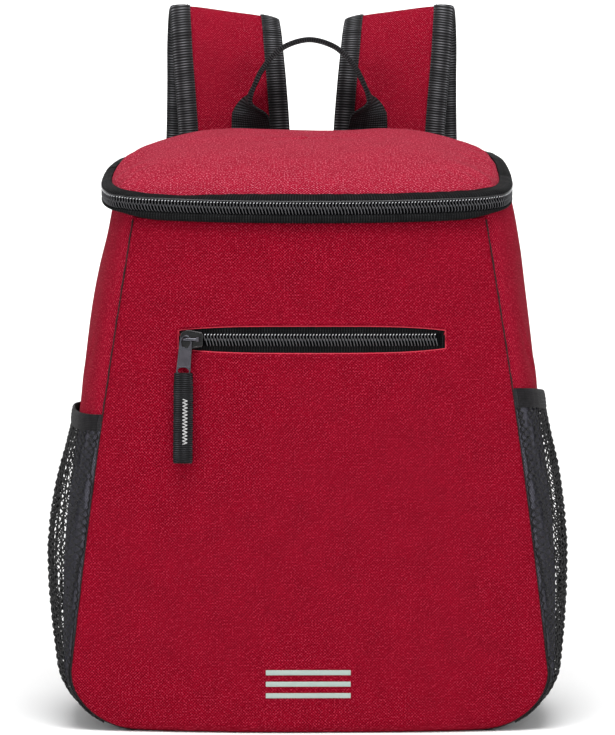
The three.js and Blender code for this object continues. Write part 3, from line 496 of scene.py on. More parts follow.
# The cloth lies on frontY, rolls in at its seams, base and slot, and swells by a few slow waves
def frontDepth(x, z):
    edge = seamHalf(z) - np.abs(x)
    away = slotDistance(x, z)
    waves = 0.35 * np.sin(x / 31 + 0.6) * np.sin(z / 43 + 1.1) + 0.22 * np.sin(x / 17 + z / 29)
    waves *= 1 - np.exp(-edge / 18)
    fold = rollOff(away, 1.5) - 0.5 * bell(away - 2.4, 1.6)
    top = 0.8 * bell(rimZ(frontY(x, frontHeight)) - z, 5)
    return rollOff(edge, 2.4) + rollOff(z, 6.0) + waves + fold + top


# A point of the front cloth, lifted along its normal, and the normal
def frontAt(x, z, lift=0.0):
    step = 0.5
    here = np.stack([x, frontY(x, z) + frontDepth(x, z), z], -1)
    dx = frontY(x + step, z) - frontY(x - step, z)
    dz = frontY(x, z + step) - frontY(x, z - step)
    normal = unit(np.stack([dx, np.full_like(dx, -2 * step), dz], -1))
    return here + normal * np.expand_dims(lift, -1), normal


# Columns of the front panel as shares of its half width, close together at the seams and the slot's ends
def columnShares():
    at = float(seamHalf(np.array(zipZ)))
    low, high = (zipShift - zipHalf) / at, (zipShift + zipHalf) / at
    edge = np.array([0, 0.25, 0.6, 1.1, 1.8, 2.8, 4.2, 6.0]) / at
    left = np.concatenate([-1 + edge, np.linspace(-1 + 9 / at, low - 6 / at, 9), low - edge[::-1]])
    middle = np.linspace(low + 9 / at, high - 9 / at, 60)
    middle = np.concatenate([low + edge[1:], middle, (high - edge[1:])[::-1]])
    right = np.concatenate([high + edge, np.linspace(high + 9 / at, 1 - 9 / at, 9), (1 - edge)[::-1]])
    return np.unique(np.round(np.concatenate([left, middle, right]), 7)), low, high


shares, slotLow, slotHigh = columnShares()
offsets = np.array([0, 0.3, 0.7, 1.2, 1.8, 2.5, 3.3, 4.2, 4.8, 5.4, 6.4])
footRoll, slotMargin = 12.0, 7.5
rows = []
lowTop = lambda x: zipZ - slotHalf(x)
for z in np.linspace(0, 1, 14) ** 1.5 * footRoll:
    rows.append(lambda x, z=z: np.full_like(x, z))
for t in np.linspace(0, 1, 78)[1:]:
    rows.append(lambda x, t=t: lerp(footRoll, lowTop(x) - slotMargin, t))
for d in offsets[::-1]:
    rows.append(lambda x, d=d: lowTop(x) - d)
slotRow = len(rows) - 1
for t in (0.25, 0.5, 0.75):
    rows.append(lambda x, t=t: zipZ + (2 * t - 1) * slotHalf(x))
for d in offsets:
    rows.append(lambda x, d=d: zipZ + slotHalf(x) + d)
slotTop = slotRow + 4
for t in np.linspace(0, 1, 26)[1:]:
    rows.append(lambda x, t=t: lerp(zipZ + slotHalf(x) + slotMargin, rimZ(frontY(x, frontHeight)), t))
zAll, xAll = [], []
halfZip = float(seamHalf(np.array(zipZ)))
for row in rows:
    z = row(shares * halfZip)
    ripple = 0.5 * np.sin(z / 7.3 + shares) * np.sin(z / 23.0 + 2 * shares)
    ripple *= np.abs(shares) ** 8 * (z > footRoll)
    x = shares * (seamHalf(np.minimum(z, frontHeight)) + ripple)
    xAll.append(x)
    zAll.append(row(x))
xAll, zAll = np.array(xAll), np.array(zAll)
outer, normal = frontAt(xAll, zAll)
keep = np.ones((len(rows) - 1, len(shares) - 1), dtype=bool)
inside = (shares[:-1] > slotLow - 1e-5) & (shares[1:] < slotHigh + 1e-5)
keep[slotRow:slotTop, inside] = False
frontPanel = slab("frontPanel", outer, outer - normal * 1.2, np.stack([xAll, zAll], -1), redCloth, keep)
register(frontPanel, ["front_pocket_panel"])
print("front panel", len(frontPanel.data.polygons))


# Stitches: short threads that lie on a surface, along a path given as points and their normals
def stitches(name, points, normals, material, nodes=(), pitch=3.0, length=2.3,
             radius=0.3, body="bag"):
    reach = reachOf(points)
    count = int(reach[-1] / pitch)
    start = (np.arange(count) + 0.15) * pitch
    share = np.linspace(0, 1, 4)
    at = start[:, None] + share * length
    path = np.stack([np.interp(at, reach, points[:, k]) for k in range(3)], -1)
    refs = np.stack([np.interp(at, reach, normals[:, k]) for k in range(3)], -1)
    path = path + refs * (radius * (1.1 * np.sin(np.pi * share) ** 0.5 - 0.55))[None, :, None]
    obj = tubes(name, path, refs, radius, 4, material)
    return register(obj, nodes, body)


# Once round the slot, at a distance from its edge
def slotLoop(away):
    angle = np.linspace(0, 2 * np.pi, 900)
    x = zipShift + (zipHalf + away) * np.clip(1.02 * np.cos(angle), -1, 1)
    z = zipZ + np.sign(np.sin(angle)) * np.minimum(slotHalf(x) + away, np.abs(np.sin(angle)) * 400)
    return x, z


# A lighter red tube along the slot's folded edge: a painted highlight where the fold would catch the light
x, z = slotLoop(0.5)
points, normals = frontAt(x, z, 0 * x - 0.15)
edge = tubes("slotFoldHighlight", points[None], -normals[None], 0.42, 8, foldHighlightRed)
register(edge, [])

# Rim: the closed plan curve of the bag's top, smoothed, and the pieces that stack on it

# Front, sides and back joined to one closed curve, evenly spaced, with its corners smoothed
def rimPlan():
    s = np.linspace(-1, 1, 161)
    x = topHalf * np.sin(np.pi / 2 * s)
    front = np.stack([x, frontY(x, frontHeight)], -1)
    k = np.linspace(0, 10, 61)[1:-1]
    arcs = []
    for side in (1, -1):
        y = sidePoint(side, k, np.array(frontHeight), 0, 0)[..., 1]
        arcs.append(np.stack([sidePoint(side, k, rimZ(y), 0, 0)[..., 0], y], -1))
    edge = float(backHalf(np.array(backHeight)))
    back = np.stack([np.linspace(edge, -edge, 61), np.full(61, backY)], -1)
    points = np.concatenate([front, arcs[0], back, arcs[1][::-1]])
    closed = np.concatenate([points, points[:1]])
    reach = reachOf(closed)
    even = np.linspace(0, reach[-1], 721)[:-1]
    plan = np.stack([np.interp(even, reach, closed[:, k]) for k in range(2)], -1)
    for _ in range(6):
        plan = (np.roll(plan, 1, 0) + 2 * plan + np.roll(plan, -1, 0)) / 4
    return plan


plan = rimPlan()
planClosed = np.concatenate([plan, plan[:1]])
planReach = reachOf(planClosed)
rimLength = planReach[-1]
rimHalf = float(plan[:, 0].max())
rimFront = float(-frontY(0.0, frontHeight))


# The bag's shoulders stand a little above the plane of the rim, more at the right, whose end is further in,
# and the left end reaches further out
def rimPoint(x, y, offset, rise, share=1.0):
    reach = np.where(y < 0, offset / rimFront, (offset - bandProud) / backY)
    outY = y * share * (1 + reach)
    end = np.where(x > 0, 2.0, 1.3) * (x / rimHalf) ** 4
    outX = x * share * (1 + offset / rimHalf) - end * share
    return grid(outX, outY, rimZ(outY) + rise + shoulderLift(x, y) * share ** 6)


# Rises by the square of the width's share, times a half wave in depth
def shoulderLift(x, y):
    height = np.where(x > 0, 6.5, 3.0)
    return height * np.clip(np.abs(x) / rimHalf, 0, 1) ** 2 * np.sin(np.pi * np.clip((y + 20) / 100, 0, 1))


# The lower tape grows narrow at the sides, where the cloth reaches up higher
def sideRise(x):
    s = np.clip((np.abs(x) / rimHalf - 0.72) / 0.28, 0, 1)
    return 4.2 * s * s * (3 - 2 * s)


# A point of the rim by its length along the plan
def rimAt(s, offset, rise, share=1.0):
    s = np.mod(s, rimLength)
    x, y = (np.interp(s, planReach, planClosed[:, k]) for k in range(2))
    return rimPoint(x, y, offset, rise, share)


# Side panels: padded cloth from the front seam to the back, red above the pocket hem and dark behind the net

kFine = 10 * (1 - np.cos(np.pi * np.linspace(0, 1, 61))) / 2
kFine = np.unique(np.concatenate([kFine * 0.5 + 0.5 * np.linspace(0, 10, 61), [0.05, 0.12]]))


# Height of a pocket's mouth, which falls a little to the back
def splitZ(pocket, k):
    return pocket["top"] - pocket["fall"] * (1 - np.cos(np.pi * k / 10)) / 2


# The front edge tucks into the seam, and a few soft creases run down from the shoulder
def sideLift(side, k, z):
    tuck = -1.6 * bell(k, 0.35)
    line = k - (1.6 + 1.7 * (262 - z) / 40)
    crease = -1.1 * bell(line, 0.35) * bell(z - 242, 22) + 0.9 * bell(line - 0.7, 0.45) * bell(z - 240, 24)
    swell = 0.5 * np.sin(k * 1.3 + z / 37) + 0.3 * np.sin(k * 2.1 - z / 19) + 2.4 * side * bell(z - 330, 36)
    across = np.sin(np.pi * np.clip(k / 10, 0, 1)) ** 0.7
    return tuck + (crease if side > 0 else 0.5 * crease) + swell * across


for name, pocket in pockets.items():
    side = pocket["side"]
    k = kFine[None]
    split = splitZ(pocket, k) - hemLap
    place = sidePoint(side, k, np.array(frontHeight), 0, 0)
    top = rimZ(place[..., 1]) + sideRise(place[..., 0]) + shoulderLift(place[..., 0], place[..., 1])
    t = np.linspace(0, 1, 60)[:, None]
    z = lerp(split, top, t)
    lift = sideLift(side, k, z)
    uv = grid(k * sideStep, z)
    outer = sidePoint(side, k, z, 0, lift)
    piece = slab(f"sideUpper_{name}", outer, sidePoint(side, k, z, 0, lift - sidePad), uv, sideLitCloth)
    register(piece, [f"side_upper_{name}"])
    girth = np.concatenate([np.linspace(-cornerArc, 0, 26)[:-1], np.zeros(1)])[:, None] + 0 * k
    up = lerp(0.0, split - gap - cornerHeight, np.linspace(0, 1, 56)[1:, None])
    girth = np.concatenate([girth, up])
    lift = sideLift(side, k, cornerHeight + girth) * np.clip(1 + girth / cornerArc, 0, 1)
    uv = grid(k * sideStep, girth)
    outer = sideAt(side, k, girth, lift)
    outer[..., 2] = np.maximum(outer[..., 2], 0)
    piece = slab(f"sideLower_{name}", outer, sideAt(side, k, girth, lift - sidePad), uv, darkCloth)
    register(piece, [f"side_lower_{name}"])
print("sides")

# Seam between the front and each side: a dark line that sits in the groove, partly the seam's dark thread and
# partly painted shade of the gap between the panels
for side in (-1, 1):
    angle = np.linspace(0, np.pi / 2, 30)[:-1]
    zLow = np.maximum(cornerHeight * (1 - np.cos(angle)), 0.8)
    z = np.concatenate([zLow, np.linspace(cornerHeight, frontHeight + 2, 220)])
    x = side * (seamHalf(np.minimum(z, frontHeight)) + 0.1)
    wobble = 0.12 * np.sin(z / 1.7) + 0.1 * np.sin(z / 4.3)
    path = np.stack([x + wobble, seamY(z) + 1.6, z], -1)[None]
    obj = tubes("seamThreadShade_" + ("left" if side < 0 else "right"), path, np.array([[[0, -1.0, 0]]]),
                0.55 + 0.1 * np.sin(z * 2.3)[None], 8, darkThread)
    register(obj, [])


# Base and back: padded cloth with rolled edges
def cushionSheet(name, outer, inner, uv, material, nodes):
    obj = slab(name, outer, inner, uv, material)
    register(obj, nodes)
    return obj


x = np.linspace(-1, 1, 61)[None] * (flatHalf - gap)
t = np.linspace(0, 1, 45)[:, None]
y = lerp(frontY(x, 0.0) + panelInset + 0.3, backY - backWall - gap, t)
edge = np.minimum(flatHalf - gap - np.abs(x), np.minimum(y - y[0], y[-1] - y))
outer = grid(x, y, rollOff(edge, 2.5))
inner = grid(x, y, np.full_like(y, 4.8))
cushionSheet("basePanel", outer, inner, outer[..., :2], redCloth, ["base_panel"])

x = np.linspace(-1, 1, 81)[None]
arc = np.linspace(0, np.pi / 2, 16)[:-1]
levels = np.linspace(cornerHeight, backHeight, 110)
levels = np.concatenate([cornerHeight * (1 - np.cos(arc)), levels])[:, None]
half = backHalf(levels)
edge = np.minimum(half * (1 - np.abs(x)), np.minimum(levels + 2.5, backHeight - levels + 2.5))
channel = bell(np.abs(x) * half - 52, 2.4) * (levels > 30) * (levels < 290)
tops = np.clip((backHeight - levels) / 6, 0, 1)
puff = rollOff(edge, 3.0) + 1.6 * channel
outer = grid(x * half, backY - puff, levels)
inner = grid(x * half, backY - backWall + 0.2 + 0 * puff, levels - 1.2 * (1 - tops))
cushionSheet("backPanel", outer, inner, outer[..., [0, 2]], liningCloth, ["back_panel"])
print("base and back")


# A closed profile of offsets and heights, carried round the rim or along a span of it. narrow lets it follow
# the sides' rise at its foot, wobble waves it and dip lowers its top at the front left
def rimProfile(name, profile, material, ring=True, span=None, wobble=0.0, narrow=0.0, dip=0.0):
    s = np.linspace(0, rimLength, 721)[:-1] if ring else np.linspace(*span, 200)
    profile = np.array(profile)
    smooth = []
    for k in range(len(profile)):
        smooth.append(profile[k])
        smooth.append((profile[k] + profile[(k + 1) % len(profile)]) / 2)
    profile = np.array(smooth)
    wave = wobble * np.sin(s / 3.1 + 2 * np.sin(s / 11))[:, None]
    x = np.interp(np.mod(s, rimLength), planReach, planClosed[:, 0])[:, None]
    foot = narrow * sideRise(x) * np.clip(1 - profile[:, 1] / lowerTapeHeight, 0, 1)
    inset = np.where(profile[:, 0] < 1, -1.8 * np.clip(x / rimHalf, 0, 1) ** 6 * (narrow == 0), 0)
    y = np.interp(np.mod(s, rimLength), planReach, planClosed[:, 1])[:, None]
    sag = dip * bell(x + 92, 34) * (y < 0) * np.clip(profile[:, 1] / tapeFloor - 1, 0, 1)
    sections = rimAt(s[:, None], profile[:, 0] + inset + 0 * wave, profile[:, 1] + wave + foot - sag)
    around = reachOf(np.concatenate([profile, profile[:1]]))
    rows = len(s) + 1 if ring else len(s)
    along = np.linspace(s[0], rimLength if ring else s[-1], rows)
    uv = grid(along[:, None], around[None])
    return sweep(name, sections, uv, material, ring=ring, sharp=60.0)


chainLow = lowerTapeHeight + gap
tapeFloor = chainLow + chainHeight + gap
lowerBand = rimProfile("zipBandLower", [
    (0.8, 0.0), (2.6, 0.1), (3.9, 0.8), (4.4, 2.2), (4.5, 3.8), (4.0, 5.2), (2.6, 5.7), (0.0, 5.6),
    (-1.6, 3.0), (-1.6, 0.3),
], bandCloth, narrow=1.0)
register(lowerBand, ["zip_tape_lower"])
upperBand = rimProfile("zipBandUpper", [
    (3.6, 14.0), (4.5, 14.5), (4.6, 15.3), (4.0, 16.3), (2.6, 17.2), (0.8, 17.8), (-1.9, 18.0), (-2.2, 16.6),
    (-2.0, 14.2),
], bandCloth, wobble=0.12, dip=8.0)
register(upperBand, ["zip_tape_upper"])

# Coil: a dark strip with two rows of bent plastic teeth on it, one from each edge
hingeMiddle = float(planReach[np.argmin(np.abs(plan[:, 0]) + (plan[:, 1] < 0) * 999)])
chainStart, chainEnd = hingeMiddle + hingeHalf, hingeMiddle - hingeHalf + rimLength
strip = rimProfile("mainZipStrip", [
    (2.9, chainLow - 0.4), (3.0, chainLow + 4), (2.9, tapeFloor), (0.6, tapeFloor), (0.6, chainLow),
], coilGround, ring=False, span=(chainStart, chainEnd))
register(strip, ["main_zip_chain"])
hinge = rimProfile("lidHinge", [
    (4.4, chainLow), (4.6, chainLow + 4), (4.4, tapeFloor), (1.0, tapeFloor), (1.0, chainLow),
], webCloth, ring=False, span=(hingeMiddle - hingeHalf + 1, hingeMiddle + hingeHalf - 1))
register(hinge, ["lid_hinge_strip"])

# One tooth of each row as a bent rod: along the chain, across it and out of it, for an 8 mm coil
toothPitch = 2.05
toothRows = {  # path and radius, and the finish of each row
    "upper": dict(path=[(0.85, 4.0, -0.5), (0.8, 3.95, 0.5), (0.45, 3.4, 1.15), (0.0, 2.7, 1.3),
                        (-0.1, 2.1, 1.0), (0.1, 1.4, 1.15), (0.35, 0.5, 1.3), (0.5, -0.3, 1.0),
                        (0.5, -0.7, 0.2)],
                  radius=0.3, finish=coilPlastic),
    "lower": dict(path=[(1.1, 0.8, 0.1), (1.1, 0.4, 0.9), (1.2, -0.4, 1.25), (1.45, -1.5, 1.25),
                        (1.7, -2.5, 1.15), (1.9, -3.3, 0.9), (2.0, -3.9, 0.3), (2.0, -4.0, -0.5)],
                  radius=0.31, finish=coilPlastic),
    # light grey rods on the teeth's tops: a painted highlight of the top light
    "tipHighlights": dict(path=[(0.85, 3.5, 1.15), (0.6, 3.45, 1.45), (0.25, 3.3, 1.5), (0.0, 3.15, 1.35)],
                 radius=0.34, finish=coilTipHighlight),
}


# A coil: at each pitch an upper wire, a lower wire and a light grey tip, a painted highlight where the top
# light would shine, all a little out of step
def teeth(name, length, place, normalAt, tall=1.0):
    start = np.arange(int(length / toothPitch)) * toothPitch
    jitter = rng.normal(0, 0.04, (len(start), 1))
    for row, tooth in toothRows.items():
        along, across, out = np.array(tooth["path"]).T
        s = start[:, None] + along + jitter
        paths = place(s, across * tall + 0 * s, out + 0 * s)
        piece = tubes(f"{name}_{row}", paths, normalAt(s), tooth["radius"], 5, tooth["finish"])
        register(piece, [])


# A point of the main zip's chain: length along it, height over its middle, and distance out
def chainPlace(s, v, w):
    return rimAt(s + chainStart, 3.0 + w, chainLow + chainHeight / 2 + v)


# Outward direction of the chain: the step from one offset to the next
def chainNormal(s):
    a, b = rimAt(s + chainStart, 3.0, 8.0), rimAt(s + chainStart, 4.0, 8.0)
    return b - a


teeth("mainCoil", chainEnd - chainStart, chainPlace, chainNormal)

# Glossy piping where the upper tape meets the coil
s = np.linspace(0, rimLength, 720)
path = rimAt(s, 4.3, tapeFloor + 0.1)[None]
refs = (rimAt(s, 5.3, tapeFloor) - rimAt(s, 4.3, tapeFloor))[None]
piping = tubes("bandPiping", path, refs, 0.55, 8, pipingPlastic)
register(piping, [])
print("band")

# Lid: a padded dome that lifts from the upper tape, puckered where its seam turns the ends
ringS = np.linspace(0, rimLength, 361)[:-1]
ringX, ringY = (np.interp(ringS, planReach, planClosed[:, k]) for k in range(2))
share = np.concatenate([np.linspace(0.02, 0.86, 34), 0.86 + 0.14 * np.linspace(0, 1, 22)[1:] ** 0.7])[:, None]
bend = np.abs(ringX) / rimHalf
pucker = np.sin(ringS / 2.3 + 1.6 * np.sin(ringS / 9)) * bell(share - 0.93, 0.1)
pucker *= 2.0 * np.clip(bend - 0.55, 0, 1)
dent = 0.5 * np.sin(ringX / 27 + 0.4) * np.sin(ringY / 21 + 0.9) * (1 - share ** 2)
lift = bandTop + domeHeight * (1 - share ** 3.2) ** 0.7 + pucker + dent - 0.9 * bell(share - 1, 0.02)
lift += 2.8 * bell(np.abs(ringX) * share - 78, 34) * bell(ringY * share - 30, 50) * (1 - share ** 6)
ends = 1.8 * np.clip(ringX / rimHalf, 0, 1) ** 6
corners = np.where(ringX < 0, 3.2 * bell(ringX + 94, 26), 1.6 * bell(ringX - 94, 16)) * (ringY < 0)
lift -= corners * bell(share - 1, 0.12)
top = rimPoint(ringX, ringY, -2.3 - ends * share, lift, share)
under = rimPoint(ringX, ringY, -5.8 - ends * share, lift - 4.6, share)
middle = np.stack([top[0].mean(0) + [0, 0, 0.1], under[0].mean(0)])
verts = np.concatenate([top.reshape(-1, 3), under.reshape(-1, 3), middle])
faces, _ = gridFaces(len(share), len(ringS), True)
count = len(share) * len(ringS)
first = np.arange(len(ringS))
after = (first + 1) % len(ringS)
last = count - len(ringS)
edgeWall = np.stack([last + first, last + after, last + after + count, last + first + count], -1)
crown = np.stack([after, first, 0 * first + 2 * count], -1)
crownUnder = np.stack([first + count, after + count, 0 * first + 2 * count + 1], -1)
faceSets = [faces, faces[:, ::-1] + count, edgeWall, crown, crownUnder]
if not outward(verts, faceSets):
    faceSets = [f[:, ::-1] for f in faceSets]
flat = np.stack([verts[:, 0], verts[:, 1] + verts[:, 2]], -1) * mm
lid = makeMesh("lidPanel", verts, faceSets, lidLitCloth, [flat[f] for f in faceSets])
register(lid, ["lid_panel"])
print("lid")


# Front zip: its tape, coil and slider stand in the slot

# A strip along the slot, half as wide as half(x), between two depths behind the front's face
def frontStrip(name, x, half, depthOut, depthIn, material, nodes):
    z = zipZ + half(x)[:, None] * np.linspace(-1, 1, 9)
    face = frontY(x[:, None] + 0 * z, z)
    outer, inner = (grid(x[:, None], face + depth, z) for depth in (depthOut, depthIn))
    obj = slab(name, outer, inner, outer[..., [0, 2]], material)
    return register(obj, nodes)


x = np.linspace(zipShift - zipHalf + 0.2, zipShift + zipHalf - 0.2, 90)
frontStrip("frontZipTape", x, lambda x: slotHalf(x) + 1.4, 1.35, 1.9, bandCloth, ["front_zip_tape"])
coilStart = -67.5
x = np.linspace(coilStart - 0.5, zipShift + zipHalf - 2, 80)
frontStrip("frontZipStrip", x, lambda x: 3.9 + 0 * x, 0.1, 1.2, coilGround, ["front_zip_chain"])


# A point of the front zip's coil: length along it, height over its middle, and distance out
def frontPlace(s, v, w):
    x, z = coilStart + s, zipZ + v
    return np.stack([x, frontY(x, z) - w + 0.1, z], -1)


teeth("frontCoil", zipShift + zipHalf - 4 - coilStart, frontPlace,
      lambda s: np.stack([0 * s, -1 + 0 * s, 0 * s], -1), tall=0.98)
print("front zip")


# Side pockets: a knitted net with diamond cells under a ribbed hem

# How far a pocket stands off its side: an open mouth to the back, and a belly between foot and mouth
def pocketRoom(pocket, share, k):
    place = np.clip(k / 10, 0, 1)
    mouth = pocketMouth * share * np.clip(np.sin(np.pi * place ** 3), 0, 1) ** 1.3
    swell = np.clip(np.sin(np.pi * share ** 1.3), 0, 1) ** 1.2
    return mouth + pocket["belly"] * swell * np.clip(np.sin(np.pi * place), 0, 1) ** 1.2


footArc = 42.0  # girth of a net's turn round the bottom corner


# A net's point by k and its girth b from the foot, which turns round the bottom corner first
def netPoint(pocket, k, b, lift):
    low = b < footArc
    corner = np.where(low, pocketFoot * (1 - b / footArc), 0)
    along = np.where(low, footShare * b / footArc, 0)
    top = splitZ(pocket, k) - pocket["hem"]
    climb = np.clip((b - footArc) / (top - cornerHeight), 0, 1)
    along = np.where(low, along, lerp(footShare, 1, climb))
    z = np.where(low, cornerHeight * (1 - np.sin(np.radians(corner))), lerp(cornerHeight, top, climb))
    return sidePoint(pocket["side"], k, z, corner, netGap + pocketRoom(pocket, along, k) + lift)


# Width of a net along its middle, and k for each share of it
def arcShares(pocket):
    k = np.linspace(0, 10, 400)
    p = netPoint(pocket, k, np.full_like(k, 120.0), 0.0)
    reach = reachOf(p)
    return k, reach / reach[-1], reach[-1]


cellWide, cellHigh, cellSteps, yarnRadius, yarnShare, pleatWide = 3.9, 5.0, 8, 0.58, 0.6, 14
for name, pocket in pockets.items():
    kTable, shareTable, across = arcShares(pocket)
    columns = int(across / cellWide)
    length = footArc + pocket["top"] - pocket["hem"] - cornerHeight
    steps = int(length / cellHigh) * cellSteps
    b = np.linspace(0, length, steps)[None]
    wave = b / cellHigh * 2 * np.pi
    zig = np.clip(1.25 * 2 / np.pi * np.arcsin(np.sin(wave)), -1, 1)
    j = np.arange(columns + 1)[:, None]
    phase = np.where(j % 2 == 0, 1.0, -1.0)
    a = np.clip((j + 0.5 * phase * zig * 0.98) / columns, 0.002, 0.998)
    drift = (0.3 * np.sin(b / 13 + j * 1.7) + 0.22 * np.sin(b / 5.3 + j * 2.9)) / columns
    k = np.interp(np.clip(a + drift, 0, 1), shareTable, kTable)
    lift = 0.45 + 0.25 * phase * np.cos(wave) + 0.35 * np.sin(b / 9 + j * 0.9) * np.sin(j / 3.0 + b / 31)
    pleat = np.sin(2 * np.pi * a * across / pleatWide + 1.4 * np.sin(b / 33)) * np.clip(b / 40, 0, 1)
    lift = lift + 1.2 * pleat * np.clip((length - b) / 40, 0, 1) * np.sin(np.pi * a)
    paths = netPoint(pocket, k, b + 0 * k, lift)
    refs = np.broadcast_to(np.array([pocket["side"] * 1.0, 0.0, 0.0]), paths.shape)
    net = tubes(f"pocketNet_{name}", paths, refs, yarnRadius, 4, netYarn, flat=0.75, taper=1.0)
    register(net, [f"pocket_net_{name}"])
    flat = (round(across * mm, 3), round(length * mm, 3))
    k = kFine[None]
    v = np.linspace(0, 1, 15)[:, None]
    rib = 0.18 * np.sin(2 * np.pi * v * pocket["hem"] / 2.4) + 0.12 * np.sin(k * 9) * np.sin(np.pi * v)
    z = splitZ(pocket, k) - pocket["hem"] * v
    room = netGap + pocketRoom(pocket, np.array(1.0), k)
    rounded = 0.6 * (1 - np.abs(2 * v - 1) ** 6)
    outer = sidePoint(pocket["side"], k, z, 0, room + 1.0 + rounded + rib)
    inner = sidePoint(pocket["side"], k, z, 0, room + 0 * v)
    uv = grid(k * sideStep, z)
    hem = slab(f"pocketHem_{name}", outer, inner, uv, hemCloth)
    register(hem, [f"pocket_hem_{name}"])
print("pockets")


# Straps and handle follow the same smooth path as the frame's bands

# A smooth curve through points, with tangents by the square roots of their distances
def catmull(points, places):
    points = np.asarray(points, dtype=float)
    last = len(points) - 1
    ends = np.concatenate([[2 * points[0] - points[1]], points, [2 * points[-1] - points[-2]]])
    at = np.clip(places, 0, 1) * last
    low = np.minimum(np.floor(at).astype(int), last - 1)
    w = (at - low)[:, None]
    p0, p1, p2, p3 = (ends[low + k] for k in range(4))
    d0, d1, d2 = (np.linalg.norm(b - a, axis=1, keepdims=True) ** 0.5
                  for a, b in ((p0, p1), (p1, p2), (p2, p3)))
    t1 = ((p1 - p0) / d0 - (p2 - p0) / (d0 + d1) + (p2 - p1) / d1) * d1
    t2 = ((p2 - p1) / d1 - (p3 - p1) / (d1 + d2) + (p3 - p2) / d2) * d1
    return p1 + t1 * w + (-3 * p1 + 3 * p2 - 2 * t1 - t2) * w ** 2 + (2 * p1 - 2 * p2 + t1 + t2) * w ** 3


# A band's path, its direction and its roll in radians
def bandPath(points, rolls, count):
    places = np.linspace(0, 1, count)
    path = catmull(points, places)
    ahead, behind = (catmull(points, np.clip(places + step, 0, 1)) for step in (1e-4, -1e-4))
    tangent = unit(ahead - behind)
    roll = np.interp(places * (len(rolls) - 1), np.arange(len(rolls)), rolls)
    return path, tangent, np.radians(roll)


# Vectors turned about axes by angles
def turnAbout(vectors, axes, angles):
    c, s = np.cos(angles)[:, None], np.sin(angles)[:, None]
    dot = np.sum(vectors * axes, 1, keepdims=True)
    return vectors * c + np.cross(axes, vectors) * s + axes * dot * (1 - c)


strapWidth, strapThickness, strapEdge, strapSpread, strapReach = 72.0, 8.0, 3.0, 0.636 * bottomHalf, 70.0
strapTop = backHeight + 107.0
strapTable = np.array([  # shares of spread, reach and top, and roll in degrees, from the back to the end
    (0.53, 0.076, 0.645, 0), (0.53, 0.08, 0.68, 0), (0.53, 0.13, 0.715, 0), (0.53, 0.129, 0.76, 0),
    (0.54, 0.134, 0.83, 0), (0.565, 0.19, 0.9, 1), (0.585, 0.25, 0.944, 3), (0.6, 0.343, 0.979, 6),
    (0.615, 0.493, 1, 8), (0.63, 0.65, 0.991, 7), (0.64, 0.78, 0.957, 5), (0.64, 0.864, 0.9, 2),
    (0.65, 0.936, 0.8, 0), (0.69, 1, 0.67, 0), (0.78, 0.97, 0.52, 0), (0.89, 0.86, 0.38, 0),
    (1, 0.68, 0.26, 0),
])
webbingWidth, webbingWall, webbingFoot, bindingWidth = 25.0, 1.6, 0.812 * bottomHalf, 13.0


# A section's points at each station: across the band and out of it
def sectionPoints(path, width, normal, across, out):
    return path[:, None] + width[:, None] * across[..., None] + normal[:, None] * out[..., None]


